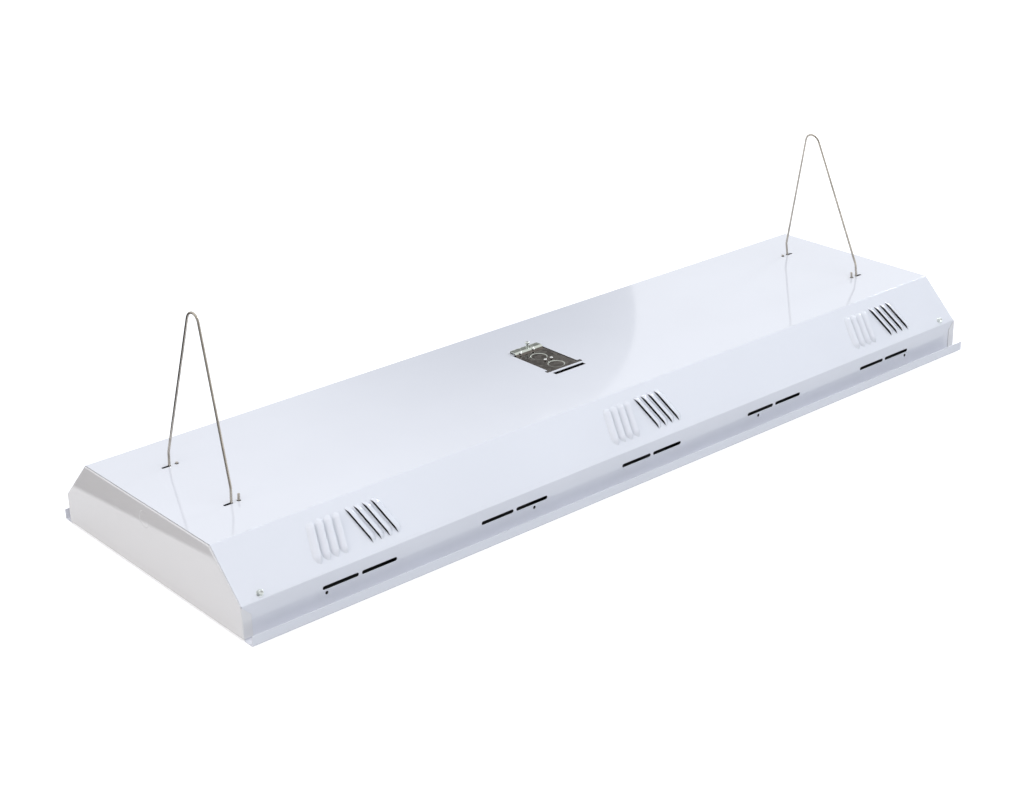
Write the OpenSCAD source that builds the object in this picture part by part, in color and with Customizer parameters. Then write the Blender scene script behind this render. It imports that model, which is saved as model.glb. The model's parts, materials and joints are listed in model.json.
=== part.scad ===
// Hanging shop light: a long folded steel hood on two wire hangers, with six tube lamps under it.
// Sizes are in millimetres. The light stands on its two flanges at z = 0, centred on x and y.
// x runs along the lamps, y runs across them and z is up. The near side is at -y.

/* [Hood] */
// Length over the two end caps
housing_l = 1219; // [1210:1:1400]
// Width of the flat top
top_w = 272; // [262:1:290]
// Width over the two upright walls
walls_w = 380; // [374:1:396]
// Width over the two lips
flange_w = 412; // [404:1:440]
// Height of the flat top
top_z = 96; // [93:0.5:110]
// Height of the fold between slope and wall
knee_z = 42; // [38:0.5:46]
// Height of the upturned lip
lip_h = 13; // [6:0.5:16]
// Thickness of the painted steel sheet
sheet_t = 0.8; // [0.6:0.1:1]
// Inner radius of the hood's folds
fold_r = 1.2; // [1:0.1:2.5]

/* [Louvres] */
// Length of each louvre's mouth
louvre_l = 48; // [30:1:50]
// Height of the mouth above the sheet
louvre_open = 3; // [1.5:0.1:4]
// Width of a louvre from its mouth to its closed side
louvre_w = 9; // [6:0.5:9.5]
// Spacing of the louvres along the hood
louvre_pitch = 11.8; // [11:0.1:14]
// Angle that each louvre leans away from square
louvre_splay = 15; // [0:1:20]
// Louvres on each side of the middle of a group
louvre_side_count = 4; // [1:1:5]
// Distance between the two middle louvres of a group
louvre_gap = 22.4; // [18:0.1:30]
// Distance from the top fold down the slope to the middle of a louvre
louvre_drop = 40; // [37:0.5:42]
// Distance that the two outer louvre groups stand right of the slot pairs
louvre_shift = 8.5; // [0:0.5:12]
// Distance that the middle louvre group stands right of the middle
louvre_middle_shift = 4; // [0:0.5:12]

/* [Wall slots] */
// Length of a slot
slot_l = 49; // [20:1:60]
// Height of a slot
slot_h = 4.7; // [3:0.1:5.5]
// Web between the two slots of a pair
slot_web = 4.4; // [3:0.1:10]
// Height of the slots' centre line
slot_z = 25; // [23:0.5:28]
// Distance from the end of the light to the middle of the first slot pair
pair_inset = 156.7; // [140:0.1:180]
// Diameter of the small holes under the slots
pin_hole_d = 4.2; // [2:0.1:5]
// Height of the small holes
pin_hole_z = 18.2; // [14:0.1:20]
// Distance from the middle of the first slot pair out to its small hole
pin_hole_out = 46.2; // [30:0.1:50]
// Distance from the middle of the second slot pair in to its small hole
pin_hole_in = 30.4; // [10:0.1:45]

/* [Hangers] */
// Distance of a hanger's pivot from the end of the light
hanger_inset = 83.5; // [70:0.5:120]
// Diameter of the hanger wire
wire_d = 3; // [2.5:0.1:3.4]
// Height of a hanger above its pivot
hanger_h = 207; // [150:1:260]
// Distance between the two legs
leg_span = 133; // [100:1:150]
// Radius of the wire's middle line at the top of a hanger
apex_r = 12.5; // [8:0.5:20]
// Height at which a leg bends inwards
leg_rise = 18; // [12:0.5:30]
// Radius of that bend
leg_bend_r = 10; // [6:0.5:20]
// Distance from a leg to its turned-up tip
hook_gap = 10; // [9:0.5:11]
// Depth of the hook's straight part below the pivot
hook_depth = 2.5; // [2:0.1:4]
// Height of the near tips above the pivot
tip_near_h = 8.5; // [2:0.5:10]
// Height of the far tips above the pivot
tip_far_h = 2; // [2:0.5:10]
// Angle by which the left hanger leans towards the middle
lean_left = 3.5; // [0:0.5:30]
// Angle by which the right hanger leans towards the middle
lean_right = 9; // [0:0.5:30]
// Length of a hanger's slot in the hood
hanger_slot_l = 12.4; // [12:0.1:14]
// Width of a hanger's slot
hanger_slot_w = 4.4; // [4:0.1:6]
// Distance from the pivot to the slot's inner end
hanger_slot_start = 7.8; // [7.4:0.1:8]
// Diameter of the hole that the tip stands in
tip_hole_d = 5; // [5:0.1:6]

/* [End caps] */
// Depth of an end cap's turned edges
cap_depth = 12.5; // [8:0.5:14]
// Inner radius of an end cap's edges
cap_r = 0.8; // [0.5:0.1:1.5]
// Height of an end cap's bottom edge
cap_z = 2.2; // [2:0.1:8]
// Clearance between an end cap and the hood
cap_fit = 0.15; // [0.1:0.01:0.3]
// Diameter of the cable knockout
knockout_d = 21; // [18:0.5:24]
// Height of the cable knockout
knockout_z = 75.5; // [70:0.5:78]
// Distance of the end cap's knockout from the middle, towards the far side
knockout_y = 3; // [-10:1:10]

/* [Access cover] */
// Length of the opening in the hood, across the light
access_l = 74; // [68:1:90]
// Width of the opening
access_w = 52; // [44:1:60]
// Place of the opening's near edge
access_near_y = -29; // [-32:1:-26]
// Width of the strip between the opening and the slot before it
access_strip = 4.5; // [3:0.5:6]
// Width of that slot
access_slot = 7; // [5:0.5:9]
// Thickness of the zinc-coated sheet
cover_t = 0.9; // [0.8:0.1:1]
// Height of the cover's raised end above the hood
cover_rise = 3.6; // [3:0.1:5]
// Length of the raised end
cover_end_l = 10; // [9:0.5:14]
// Diameter of the cover's two knockouts
cover_knockout_d = 22; // [16:0.5:26]

/* [Lamps] */
// Number of lamps
lamp_count = 6; // [2:2:6]
// Spacing of the lamps
lamp_pitch = 58; // [56:0.5:59]
// Height of the lamps' axes
lamp_z = 22; // [22:0.5:24]
// Distance from the end of the light to a lamp's cap face
lamp_inset = 35; // [34:0.5:37]
// Diameter of a lamp
lamp_d = 16; // [15:0.5:17]
// Thickness of the glass
glass_t = 0.8; // [0.6:0.1:1]
// Length of a lamp's metal cap
lamp_cap_l = 10; // [8:0.5:14]
// Diameter of a lamp's pins
pin_d = 2.37; // [2.2:0.01:2.4]
// Length of a lamp's pins
pin_l = 7.1; // [6:0.1:7.2]
// Distance between the two pins
pin_gap = 4.75; // [4.6:0.05:5]

/* [Lampholders] */
// Width of a lampholder
holder_w = 20; // [19:0.5:24]
// Thickness of a lampholder
holder_t = 14; // [13:0.5:14]
// Height of a lampholder above the lamp's axis
holder_rise = 24; // [22:0.5:25]
// Radius of the turning rotor
rotor_r = 6.5; // [6:0.1:7]
// Running clearance round the rotor
rotor_fit = 0.08; // [0.05:0.01:0.1]

/* [Ballasts] */
// Length of the four-lamp ballast
ballast_four_l = 424; // [380:1:430]
// Length of the two-lamp ballast
ballast_two_l = 358; // [280:1:380]
// Width of a ballast
ballast_w = 43; // [38:1:60]
// Height of a ballast
ballast_h = 30; // [24:0.5:30]
// Width of the channel that carries the ballasts
channel_w = 150; // [130:1:160]
// Height of the channel's underside
channel_z = 56; // [55.5:0.5:57]

/* [Reflector] */
// Thickness of the reflector sheet
reflector_t = 0.5; // [0.4:0.05:0.6]
// Height of the reflector's lower folds
reflector_z = 12.5; // [12.5:0.1:13]
// Inner radius of the reflector's folds
reflector_r = 0.8; // [0.5:0.1:1]

/* [Hidden] */
lamps = [1:lamp_count];

// Fineness of round parts, and flats in each small fold
round_fn = 64;
fold_steps = 6;
reflector_steps = 3;
// Overrun of cuts past a face, and height of a cut through the flat top
over = 1;
top_cut = sheet_t + 2 * over;
// Gap between two hidden pieces that lie on each other
seat_gap = 0.05;
// Clearance of hidden brackets from the hood's walls and slopes
bar_fit = 0.3;

// Ends and outline of the hood
end_x = housing_l / 2;
cap_edge = cap_r + sheet_t;
hood_end_x = end_x - cap_edge - cap_fit;
hood_l = 2 * hood_end_x;
slope_a = atan2(top_z - knee_z, (walls_w - top_w) / 2);
slope_l = norm([top_z - knee_z, (walls_w - top_w) / 2]);
outline = [
    [-walls_w / 2, 0], [-walls_w / 2, knee_z], [-top_w / 2, top_z],
    [top_w / 2, top_z], [walls_w / 2, knee_z], [walls_w / 2, 0]];
hood_inside = concat(
    [[-flange_w / 2, lip_h], [-flange_w / 2, 0]],
    inset(outline, sheet_t),
    [[flange_w / 2, 0], [flange_w / 2, lip_h]]);

// Louvre shapes: a round bar with ball ends, swelled a little, of which only the crown stands out of the sheet
louvre_h = louvre_open + sheet_t;
louvre_r = (pow(louvre_w, 2) + pow(louvre_h, 2)) / (2 * louvre_h);
louvre_depth = louvre_r - louvre_h;
louvre_end = sqrt(pow(louvre_r - sheet_t, 2) - pow(louvre_depth, 2));
louvre_straight = louvre_l - 2 * louvre_end;
louvre_swell = 0.02;
// How far the cut in the sheet runs on before the mouth
louvre_cut = 0.05;

// Wall slots
pair_count = 5;
pair_pitch = 2 * (end_x - pair_inset) / (pair_count - 1);
pairs = [for (i = [0:pair_count - 1]) (i - (pair_count - 1) / 2) * pair_pitch];
pin_holes = [
    pairs[0] - pin_hole_out, pairs[1] + pin_hole_in,
    pairs[pair_count - 2] - pin_hole_in, pairs[pair_count - 1] + pin_hole_out];
louvre_groups = [
    pairs[0] + louvre_shift, louvre_middle_shift, pairs[pair_count - 1] + louvre_shift];

// Hangers
pivot_x = end_x - hanger_inset;
pivot_z = top_z - sheet_t / 2;
leg_y = leg_span / 2;
apex_z = hanger_h - apex_r - wire_d / 2;
leg_reach = norm([leg_y, apex_z - leg_rise]);
leg_a = acos(apex_r / leg_reach) - atan2(apex_z - leg_rise, leg_y);
leg_bend_l = leg_bend_r * tan(leg_a / 2);
leg_l = sqrt(pow(leg_reach, 2) - pow(apex_r, 2)) - leg_bend_l;
// Overlap of a straight stretch with a bend, and how much a bend swells the wire
wire_lap = 0.1;
bend_swell = 0.01;

// Slope screws, which hold the socket bars
holder_face_gap = 0.5;
lamp_l = housing_l - 2 * lamp_inset;
bar_x = lamp_l / 2 + holder_face_gap + holder_t;
bar_tab_l = 18;
bar_tab_w = 9;
bar_tab_edge = 2.5;
slope_screw_s = slope_l - bar_tab_w / 2 - bar_tab_edge;
slope_screw_x = bar_x + sheet_t - bar_tab_l / 2;
screw_r = 1.9;
screw_hole_r = 1.95;
screw_l = 8;
screw_flange_r = 4.3;
screw_flange_t = 0.8;
screw_hex_r = 3.7;
screw_hex_h = 3.2;

// End caps
cap_inset = sheet_t + cap_fit + cap_edge;
cap_outline = [
    [-walls_w / 2, cap_z + cap_edge], [-walls_w / 2, knee_z], [-top_w / 2, top_z],
    [top_w / 2, top_z], [walls_w / 2, knee_z], [walls_w / 2, cap_z + cap_edge]];
cap_face = inset(cap_outline, cap_inset);
cap_wall_edge = cap_inset + cap_fit + sheet_t;
// Overlap of the turned edges with the face and with the corners, whose sheet stretches a little thinner
cap_lap = 0.2;
cap_corner_lap = 0.14;
cap_thin = 0.01;
// Width of a knockout's slanting rim, and its depth as a share of the sheet
knockout_rim = 0.7;
knockout_share = 0.45;

// Access cover
cover_gap = 0.7;
cover_far_y = access_near_y + access_l;
cover_under_strip = 3;
cover_notch_l = 6;
cover_notch_w = 5;
cover_ear_fit = 0.4;
cover_end_inset = 1.8;
cover_knockout_step = 34.5;
cover_knockout_y = -11.5;
cover_corner_r = 3;
cover_screw_x = 3;
cover_screw_r = 1.7;
cover_screw_head_r = 3.4;
cover_screw_head_h = 2.4;
cover_screw_out = 5.5;
cover_screw_in = 8;
cover_hole_x = [-17, -10];
cover_hole_r = 0.9;

// Channel, ballasts and their screws
channel_end_x = bar_x - seat_gap;
channel_flange = 12;
channel_top = top_z - 2 * sheet_t - seat_gap;
channel_r = 1;
ballast_z = channel_z + sheet_t;
ballast_ear_l = 12;
ballast_ear_t = 1;
ballast_ear_hole_r = 2.05;
ballast_r = 2;
ballast_x = (access_w / 2 + bar_x) / 2;
ballast_screw_r = 2;
ballast_screw_head_r = 4;
ballast_screw_head_h = 2.4;
ballast_screw_l = 6;
// Radius of a pan head's crown, as a share of the head's radius
crown_share = 1.6;

// Socket bars
bar_z = 7;
bar_top = channel_top - seat_gap;
bar_return = 6;
bar_r = 1;
boss_w = 12;
boss_h = 10;
boss_l = 5;
boss_fit = 0.2;
boss_rise = 17;
lead_hole_r = 4;
lead_hole_z = channel_z + ballast_h / 2;

// Lamps and lampholders
lamp_x = lamp_l / 2;
glass_l = lamp_l - 2 * lamp_cap_l;
cap_spigot_l = 3;
cap_spigot_fit = 0.1;
lamp_ys = [for (k = lamps) (k - (lamp_count + 1) / 2) * lamp_pitch];
holder_x = lamp_x + holder_face_gap;
rotor_l = 8.6;
rotor_start = 0.3;
rotor_slot = 2.9;
entry_slot = 3.2;

// Reflector
crest_z = channel_z - seat_gap - reflector_t;
reflector_overhang = 3;
reflector_l = glass_l + 2 * reflector_overhang;
reflector_hem = 7;
reflector_fit = 0.4;
// Places along and up one half of a trough, as shares of half its width and of its height
trough_shares = [
    [-0.95, 0], [-0.89, 0.3], [-0.77, 0.56], [-0.59, 0.78], [-0.36, 0.93], [-0.15, 1],
    [0.15, 1], [0.36, 0.93], [0.59, 0.78], [0.77, 0.56], [0.89, 0.3], [0.95, 0]];
reflector_half_count = lamp_count / 2;
reflector_screw_xs = [-reflector_l / 3, 0, reflector_l / 3];
reflector_screw_r = 1.9;
reflector_screw_head_r = 3.6;
reflector_screw_head_h = 2;
reflector_screw_l = 5;

paint = "ghostwhite";
cap_paint = "gainsboro";
zinc = "silver";
bright = "whitesmoke";
tin = "darkgray";
enamel = "dimgray";

// Length 1 along v
function unit(v) = v / norm(v);
// v turned a quarter turn to the right
function right_of(v) = [v.y, -v.x];
// How far the path turns left at point i, positive to the left
function turning(p, i) = cross(unit(p[i] - p[i - 1]), unit(p[i + 1] - p[i]));

// The path moved to its right by d, with sharp corners
function inset(p, d) = [
    for (i = [0:len(p) - 1])
        let (
            before = i > 0 ? right_of(unit(p[i] - p[i - 1])) : right_of(unit(p[1] - p[0])),
            after = i < len(p) - 1 ? right_of(unit(p[i + 1] - p[i])) : before)
        p[i] + d * (before + after) / (1 + before * after)];

// The arc of radius r that rounds the corner at b between a and c
function corner(a, b, c, r, steps) =
    let (
        u = unit(a - b),
        v = unit(c - b),
        half = acos(u * v) / 2,
        centre = b + unit(u + v) * r / sin(half),
        from = b + u * r / tan(half) - centre,
        to = b + v * r / tan(half) - centre,
        start = atan2(from.y, from.x),
        sweep = (atan2(to.y, to.x) - start + 540) % 360 - 180)
    [for (i = [0:steps]) centre + r * [cos(start + sweep * i / steps), sin(start + sweep * i / steps)]];

// The path with each corner rounded: left turns by left_r and right turns by right_r
function rounded(p, left_r, right_r, steps) = concat(
    [p[0]],
    [for (i = [1:len(p) - 2])
        each corner(p[i - 1], p[i], p[i + 1], turning(p, i) > 0 ? left_r : right_r, steps)],
    [p[len(p) - 1]]);

function reverse(p) = [for (i = [len(p) - 1:-1:0]) p[i]];

// Outline of a sheet of thickness t that lies on the left of the path, with inner fold radius r
function sheet(p, t, r, steps = fold_steps) = concat(
    rounded(p, r + t, r, steps),
    reverse(rounded(inset(p, -t), r, r + t, steps)));

// A drawing in y and z made into a bar along x
module along_x(l) { rotate([90, 0, 90]) linear_extrude(l, center = true) children(); }

// Copies at both sides of the middle plane across y
module both_sides() {
    children();
    mirror([0, 1, 0]) children();
}

// Copies at both ends
module both_ends() {
    children();
    mirror([1, 0, 0]) children();
}

// The far slope's own frame: y runs down the slope from the top fold and z is square to the sheet
module on_slope() { translate([0, top_w / 2, top_z]) rotate([-slope_a, 0, 0]) children(); }

// A flat slot with round ends
module slot(l, w) {
    square([l - w, w], center = true);
    for (s = [-1, 1]) translate([s * (l - w) / 2, 0]) circle(d = w, $fn = round_fn);
}

// The recess of a knockout from above, with a slanting rim, in a sheet of thickness t above z = 0
module knockout_recess(d, t) {
    depth = t * knockout_share;
    translate([0, 0, t - depth])
        cylinder(h = 2 * depth, d1 = d - 2 * knockout_rim, d2 = d + 2 * knockout_rim, $fn = round_fn);
}

// The pressed disc of a knockout, which stands out under the sheet
module knockout_disc(d, t) {
    translate([0, 0, -t * knockout_share]) cylinder(h = t, d = d - 2 * knockout_rim, $fn = round_fn);
}

// Hood

// The part of a louvre's bar that lies above height low, from the distance front before the mouth
module louvre_body(bar_r, low, front) {
    intersection() {
        translate([0, 0, -louvre_depth]) {
            rotate([90, 0, 0]) cylinder(h = louvre_straight, r = bar_r, center = true, $fn = round_fn);
            for (s = [-1, 1]) translate([0, s * louvre_straight / 2, 0])
                sphere(r = bar_r + louvre_swell, $fn = round_fn);
        }
        translate([-front, -louvre_l, low]) cube([2 * louvre_w, 2 * louvre_l, louvre_h - low + over]);
    }
}

// Copies at each louvre of the far slope, with the mouth facing the middle of its group
module each_louvre() {
    on_slope() for (x = louvre_groups) translate([x, louvre_drop, 0]) both_ends()
        for (i = [0:louvre_side_count - 1])
            translate([louvre_gap / 2 + i * louvre_pitch, 0, 0]) rotate([0, 0, -louvre_splay])
                children();
}

module hanger_holes() {
    both_ends() both_sides() translate([pivot_x, leg_y, top_z - sheet_t - over]) {
        cylinder(h = top_cut, d = tip_hole_d, $fn = round_fn);
        translate([hanger_slot_start + hanger_slot_l / 2, 0, 0])
            linear_extrude(top_cut) slot(hanger_slot_l, hanger_slot_w);
    }
}

module access_opening() {
    translate([0, 0, top_z - sheet_t - over]) linear_extrude(top_cut) {
        translate([-access_w / 2, access_near_y]) square([access_w, access_l]);
        translate([-access_w / 2 - cover_notch_w, access_near_y])
            square([access_w + 2 * cover_notch_w, cover_notch_l]);
        translate([-access_w / 2, access_near_y - access_strip - access_slot])
            square([access_w, access_slot]);
    }
    translate([cover_screw_x, cover_far_y + cover_end_l / 2, top_z - sheet_t - over])
        cylinder(h = top_cut, r = cover_screw_r + seat_gap, $fn = round_fn);
}

module wall_cuts() {
    both_sides() translate([0, walls_w / 2 + over, 0]) rotate([90, 0, 0])
        linear_extrude(sheet_t + 2 * over) {
            for (x = pairs, s = [-1, 1])
                translate([x + s * (slot_web + slot_l) / 2, slot_z]) slot(slot_l, slot_h);
            for (x = pin_holes)
                translate([x, pin_hole_z]) circle(d = pin_hole_d, $fn = round_fn);
        }
}

module slope_screw_holes() {
    both_ends() both_sides() on_slope() translate([slope_screw_x, slope_screw_s, -screw_l])
        cylinder(h = 2 * screw_l, r = screw_hole_r, $fn = round_fn);
}

module hood() {
    color(paint) difference() {
        union() {
            along_x(hood_l) polygon(sheet(hood_inside, sheet_t, fold_r));
            both_sides() each_louvre() louvre_body(louvre_r, -sheet_t / 2, 0);
        }
        both_sides() each_louvre() louvre_body(louvre_r - sheet_t, -sheet_t - over, louvre_cut);
        hanger_holes();
        access_opening();
        wall_cuts();
        slope_screw_holes();
    }
}

// End caps

// Section of a turned edge: out along the face, round the fold and back along the hood
function edge_section(reach, start, thin) = sheet(
    [[reach - thin, -cap_depth + thin], [reach - thin, -thin], [start, -thin]],
    sheet_t - 2 * thin, cap_r + thin);

// A straight turned edge from a to b, on the left of that way, which laps the face and the corners
module straight_edge(a, b, reach) {
    translate(concat(a, 0)) rotate([0, 0, atan2(b.y - a.y, b.x - a.x)]) rotate([90, 0, 90])
        translate([0, 0, -cap_corner_lap]) linear_extrude(norm(b - a) + 2 * cap_corner_lap)
            polygon(edge_section(reach, -cap_lap, cap_thin));
}

// The drawn corner between the edges before and after point i of the face
module drawn_corner(i) {
    before = cap_face[i] - cap_face[i - 1];
    after = cap_face[i + 1] - cap_face[i];
    start = atan2(after.x, -after.y);
    sweep = (atan2(before.x, -before.y) - start + 360) % 360;
    translate(concat(cap_face[i], 0)) rotate([0, 0, start])
        rotate_extrude(angle = sweep, $fn = round_fn) polygon(edge_section(cap_edge, 0, 0));
}

// The tab outside the hood's far wall, with its top corner cut at a slant
module wall_tab() {
    top = cap_face[4];
    low = cap_face[5];
    slant = cap_depth - cap_edge - cap_lap;
    difference() {
        straight_edge(top, low, cap_wall_edge);
        translate([top.x, top.y, -cap_edge - cap_lap]) rotate([0, 90, 0])
            linear_extrude(cap_wall_edge + over)
                polygon([[0, over], [0, 0], [slant + over, -slant - over], [slant + over, over]]);
    }
}

module end_cap() {
    color(cap_paint) translate([end_x, 0, 0]) rotate([90, 0, 90]) difference() {
        union() {
            translate([0, 0, 2 * cap_thin - sheet_t]) linear_extrude(sheet_t - 4 * cap_thin) polygon(cap_face);
            for (i = [1:3]) straight_edge(cap_face[i], cap_face[i + 1], cap_edge);
            straight_edge(cap_face[5], cap_face[0], cap_edge);
            for (i = [1:4]) drawn_corner(i);
            wall_tab();
            mirror([1, 0, 0]) wall_tab();
            translate([knockout_y, knockout_z, -sheet_t]) knockout_disc(knockout_d, sheet_t);
        }
        translate([knockout_y, knockout_z, -sheet_t]) knockout_recess(knockout_d, sheet_t);
    }
}

module end_cap_left() { mirror([1, 0, 0]) end_cap(); }
module end_cap_right() { end_cap(); }

// Screws

// A screw down -z with its head standing on z = 0
module hex_washer_screw() {
    translate([0, 0, -screw_l]) cylinder(h = screw_l, r = screw_r, $fn = round_fn);
    cylinder(h = screw_flange_t, r = screw_flange_r, $fn = round_fn);
    cylinder(h = screw_hex_h, r = screw_hex_r, $fn = 6);
}

module pan_screw(r, l, head_r, head_h) {
    translate([0, 0, -l]) cylinder(h = l, r = r, $fn = round_fn);
    intersection() {
        cylinder(h = head_h, r = head_r, $fn = round_fn);
        translate([0, 0, head_h - head_r * crown_share]) sphere(r = head_r * crown_share, $fn = round_fn);
    }
}

module slope_screws() {
    color(zinc) both_ends() both_sides() on_slope()
        translate([slope_screw_x, slope_screw_s, 0]) hex_washer_screw();
}

// Access cover

cover_panel_z = top_z - sheet_t - seat_gap - cover_t;
cover_top_z = top_z + cover_rise;
cover_near_y = access_near_y - cover_under_strip;
cover_end_y = cover_far_y + cover_end_l;
// The climb to the raised end is at 45 degrees, and is narrower than the panel
cover_foot_y = cover_far_y - (cover_top_z - cover_t - cover_panel_z);
// Underside of the cover from its near edge to the foot of its raised end
cover_path = [
    [cover_near_y, cover_panel_z], [cover_foot_y, cover_panel_z],
    [cover_far_y, cover_top_z - cover_t], [cover_end_y, cover_top_z - cover_t],
    [cover_end_y, top_z]];

// Copies at the cover's two knockouts, on the underside of its panel
module each_cover_knockout() {
    for (i = [0, 1]) translate([0, cover_knockout_y + i * cover_knockout_step, cover_panel_z]) children();
}

module access_cover() {
    panel_w = access_w - 2 * cover_gap;
    ear_w = access_w + 2 * cover_notch_w - 2 * cover_ear_fit;
    color(tin) difference() {
        union() {
            intersection() {
                along_x(ear_w + over) polygon(sheet(cover_path, cover_t, cover_t));
                translate([0, 0, cover_panel_z - over]) linear_extrude(cover_rise + top_z) {
                    translate([-panel_w / 2, cover_near_y]) square([panel_w, cover_foot_y - cover_near_y]);
                    translate([-ear_w / 2, access_near_y + cover_ear_fit])
                        square([ear_w, cover_notch_l - 2 * cover_ear_fit]);
                    raised_end_outline(panel_w - 2 * cover_end_inset);
                }
            }
            each_cover_knockout() knockout_disc(cover_knockout_d, cover_t);
        }
        each_cover_knockout() knockout_recess(cover_knockout_d, cover_t);
        translate([cover_screw_x, cover_far_y + cover_end_l / 2, top_z])
            cylinder(h = 2 * cover_rise, r = cover_screw_r + seat_gap, $fn = round_fn);
        for (x = cover_hole_x) translate([x, cover_far_y + cover_end_l / 2, top_z])
            cylinder(h = 2 * cover_rise, r = cover_hole_r, $fn = round_fn);
    }
}

// Plan of the climb and the raised end, with its two far corners rounded
module raised_end_outline(w) {
    corner_y = cover_end_y + cover_t - cover_corner_r;
    translate([-w / 2, cover_foot_y - over]) square([w, corner_y - cover_foot_y + over]);
    translate([-w / 2 + cover_corner_r, corner_y]) square([w - 2 * cover_corner_r, cover_corner_r + over]);
    for (s = [-1, 1]) translate([s * (w / 2 - cover_corner_r), corner_y]) circle(r = cover_corner_r, $fn = round_fn);
}

module cover_screw() {
    color(zinc) translate([cover_screw_x, cover_far_y + cover_end_l / 2, cover_top_z + cover_screw_out])
        pan_screw(cover_screw_r, cover_screw_out + cover_screw_in, cover_screw_head_r, cover_screw_head_h);
}

// Hangers

// A straight stretch of wire up z, then what follows at its end
module wire(l) {
    translate([0, 0, -wire_lap]) cylinder(h = l + 2 * wire_lap, d = wire_d, $fn = round_fn);
    translate([0, 0, l]) children();
}

// A bent stretch of wire round z, starting on x
module arc(r, a) {
    rotate_extrude(angle = a, $fn = round_fn) translate([r, 0]) circle(r = wire_d / 2 + bend_swell, $fn = round_fn);
}

// A bend of radius r from z towards x through angle a, then what follows at its end
module bend(r, a) {
    translate([r, 0, 0]) rotate([90, 0, 180]) arc(r, a);
    translate([r - r * cos(a), 0, r * sin(a)]) rotate([0, a, 0]) children();
}

// The far leg of a hanger, from its tip round the hook and up to the bend at the top
module hanger_leg(tip_h) {
    translate([0, leg_y, tip_h]) rotate([180, 0, 0]) wire(tip_h + hook_depth) bend(hook_gap / 2, 180)
        wire(hook_depth + leg_rise - leg_bend_l) rotate([0, 0, 90]) bend(leg_bend_r, leg_a) wire(leg_l);
}

// The right hanger, leaning towards the middle
module hanger(lean) {
    color(zinc) translate([pivot_x, 0, pivot_z]) rotate([0, -lean, 0]) {
        hanger_leg(tip_far_h);
        mirror([0, 1, 0]) hanger_leg(tip_near_h);
        translate([hook_gap, 0, apex_z]) rotate([leg_a, 0, 0]) rotate([90, 0, 90]) arc(apex_r, 180 - 2 * leg_a);
    }
}

module hanger_left() { mirror([1, 0, 0]) hanger(lean_left); }
module hanger_right() { hanger(lean_right); }

// Ballast channel and ballasts

channel_path = [
    [-channel_w / 2 - channel_flange, channel_top], [-channel_w / 2, channel_top],
    [-channel_w / 2, channel_z], [channel_w / 2, channel_z],
    [channel_w / 2, channel_top], [channel_w / 2 + channel_flange, channel_top]];

// Copies at the two ear holes of each ballast, on top of the channel's web
module each_ballast_screw() {
    for (b = [[-ballast_x, ballast_four_l], [ballast_x, ballast_two_l]], s = [-1, 1])
        translate([b[0] + s * (b[1] + ballast_ear_l) / 2, 0, ballast_z]) children();
}

// Copies at each reflector screw, on the underside of the channel
module each_reflector_screw() {
    for (x = reflector_screw_xs, s = [-1, 1]) translate([x, s * lamp_pitch / 2, channel_z]) children();
}

module ballast_channel() {
    color(paint) difference() {
        along_x(2 * channel_end_x) polygon(sheet(channel_path, sheet_t, channel_r));
        each_ballast_screw() translate([0, 0, -ballast_screw_l])
            cylinder(h = 2 * ballast_screw_l, r = ballast_screw_r + seat_gap, $fn = round_fn);
        each_reflector_screw() translate([0, 0, -reflector_screw_l])
            cylinder(h = 2 * reflector_screw_l, r = reflector_screw_r + seat_gap, $fn = round_fn);
    }
}

// A can with rounded long edges and an ear with a hole at each end
module ballast(l) {
    difference() {
        union() {
            along_x(l) {
                translate([-ballast_w / 2, 0]) square([ballast_w, ballast_h - ballast_r]);
                translate([-ballast_w / 2 + ballast_r, 0]) square([ballast_w - 2 * ballast_r, ballast_h]);
                for (s = [-1, 1]) translate([s * (ballast_w / 2 - ballast_r), ballast_h - ballast_r])
                    circle(r = ballast_r, $fn = round_fn);
            }
            translate([-l / 2 - ballast_ear_l, -ballast_w / 4, 0])
                cube([l + 2 * ballast_ear_l, ballast_w / 2, ballast_ear_t]);
        }
        for (s = [-1, 1]) translate([s * (l + ballast_ear_l) / 2, 0, -over])
            cylinder(h = ballast_ear_t + 2 * over, r = ballast_ear_hole_r, $fn = round_fn);
    }
}

module four_lamp_ballast() { color(enamel) translate([-ballast_x, 0, ballast_z]) ballast(ballast_four_l); }
module two_lamp_ballast() { color(enamel) translate([ballast_x, 0, ballast_z]) ballast(ballast_two_l); }

module ballast_screws() {
    color(zinc) each_ballast_screw() translate([0, 0, ballast_ear_t])
        pan_screw(ballast_screw_r, ballast_screw_l, ballast_screw_head_r, ballast_screw_head_h);
}

// Socket bars and lampholders

// Section of a bar in x and z: a return at the bottom, the upright and a return at the top
bar_path = [
    [bar_return, bar_z], [0, bar_z], [0, bar_top - sheet_t], [bar_return, bar_top - sheet_t]];

module socket_bar() {
    color(paint) difference() {
        union() {
            intersection() {
                translate([bar_x + sheet_t, 0, 0]) rotate([90, 0, 0])
                    linear_extrude(walls_w, center = true) polygon(sheet(reverse(bar_path), sheet_t, bar_r));
                along_x(housing_l) polygon(inset(outline, sheet_t + bar_fit));
            }
            both_sides() on_slope()
                translate([bar_x + sheet_t - bar_tab_l, slope_screw_s - bar_tab_w / 2, -2 * sheet_t - seat_gap])
                    cube([bar_tab_l, bar_tab_w, sheet_t]);
        }
        slope_screw_holes();
        for (y = lamp_ys) translate([bar_x - over, y, lamp_z + boss_rise])
            translate([0, -boss_w / 2 - boss_fit, -boss_h / 2 - boss_fit])
                cube([sheet_t + 2 * over, boss_w + 2 * boss_fit, boss_h + 2 * boss_fit]);
        both_sides() translate([bar_x - over, channel_w / 3, lead_hole_z]) rotate([0, 90, 0])
            cylinder(h = sheet_t + 2 * over, r = lead_hole_r, $fn = round_fn);
    }
}

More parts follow.
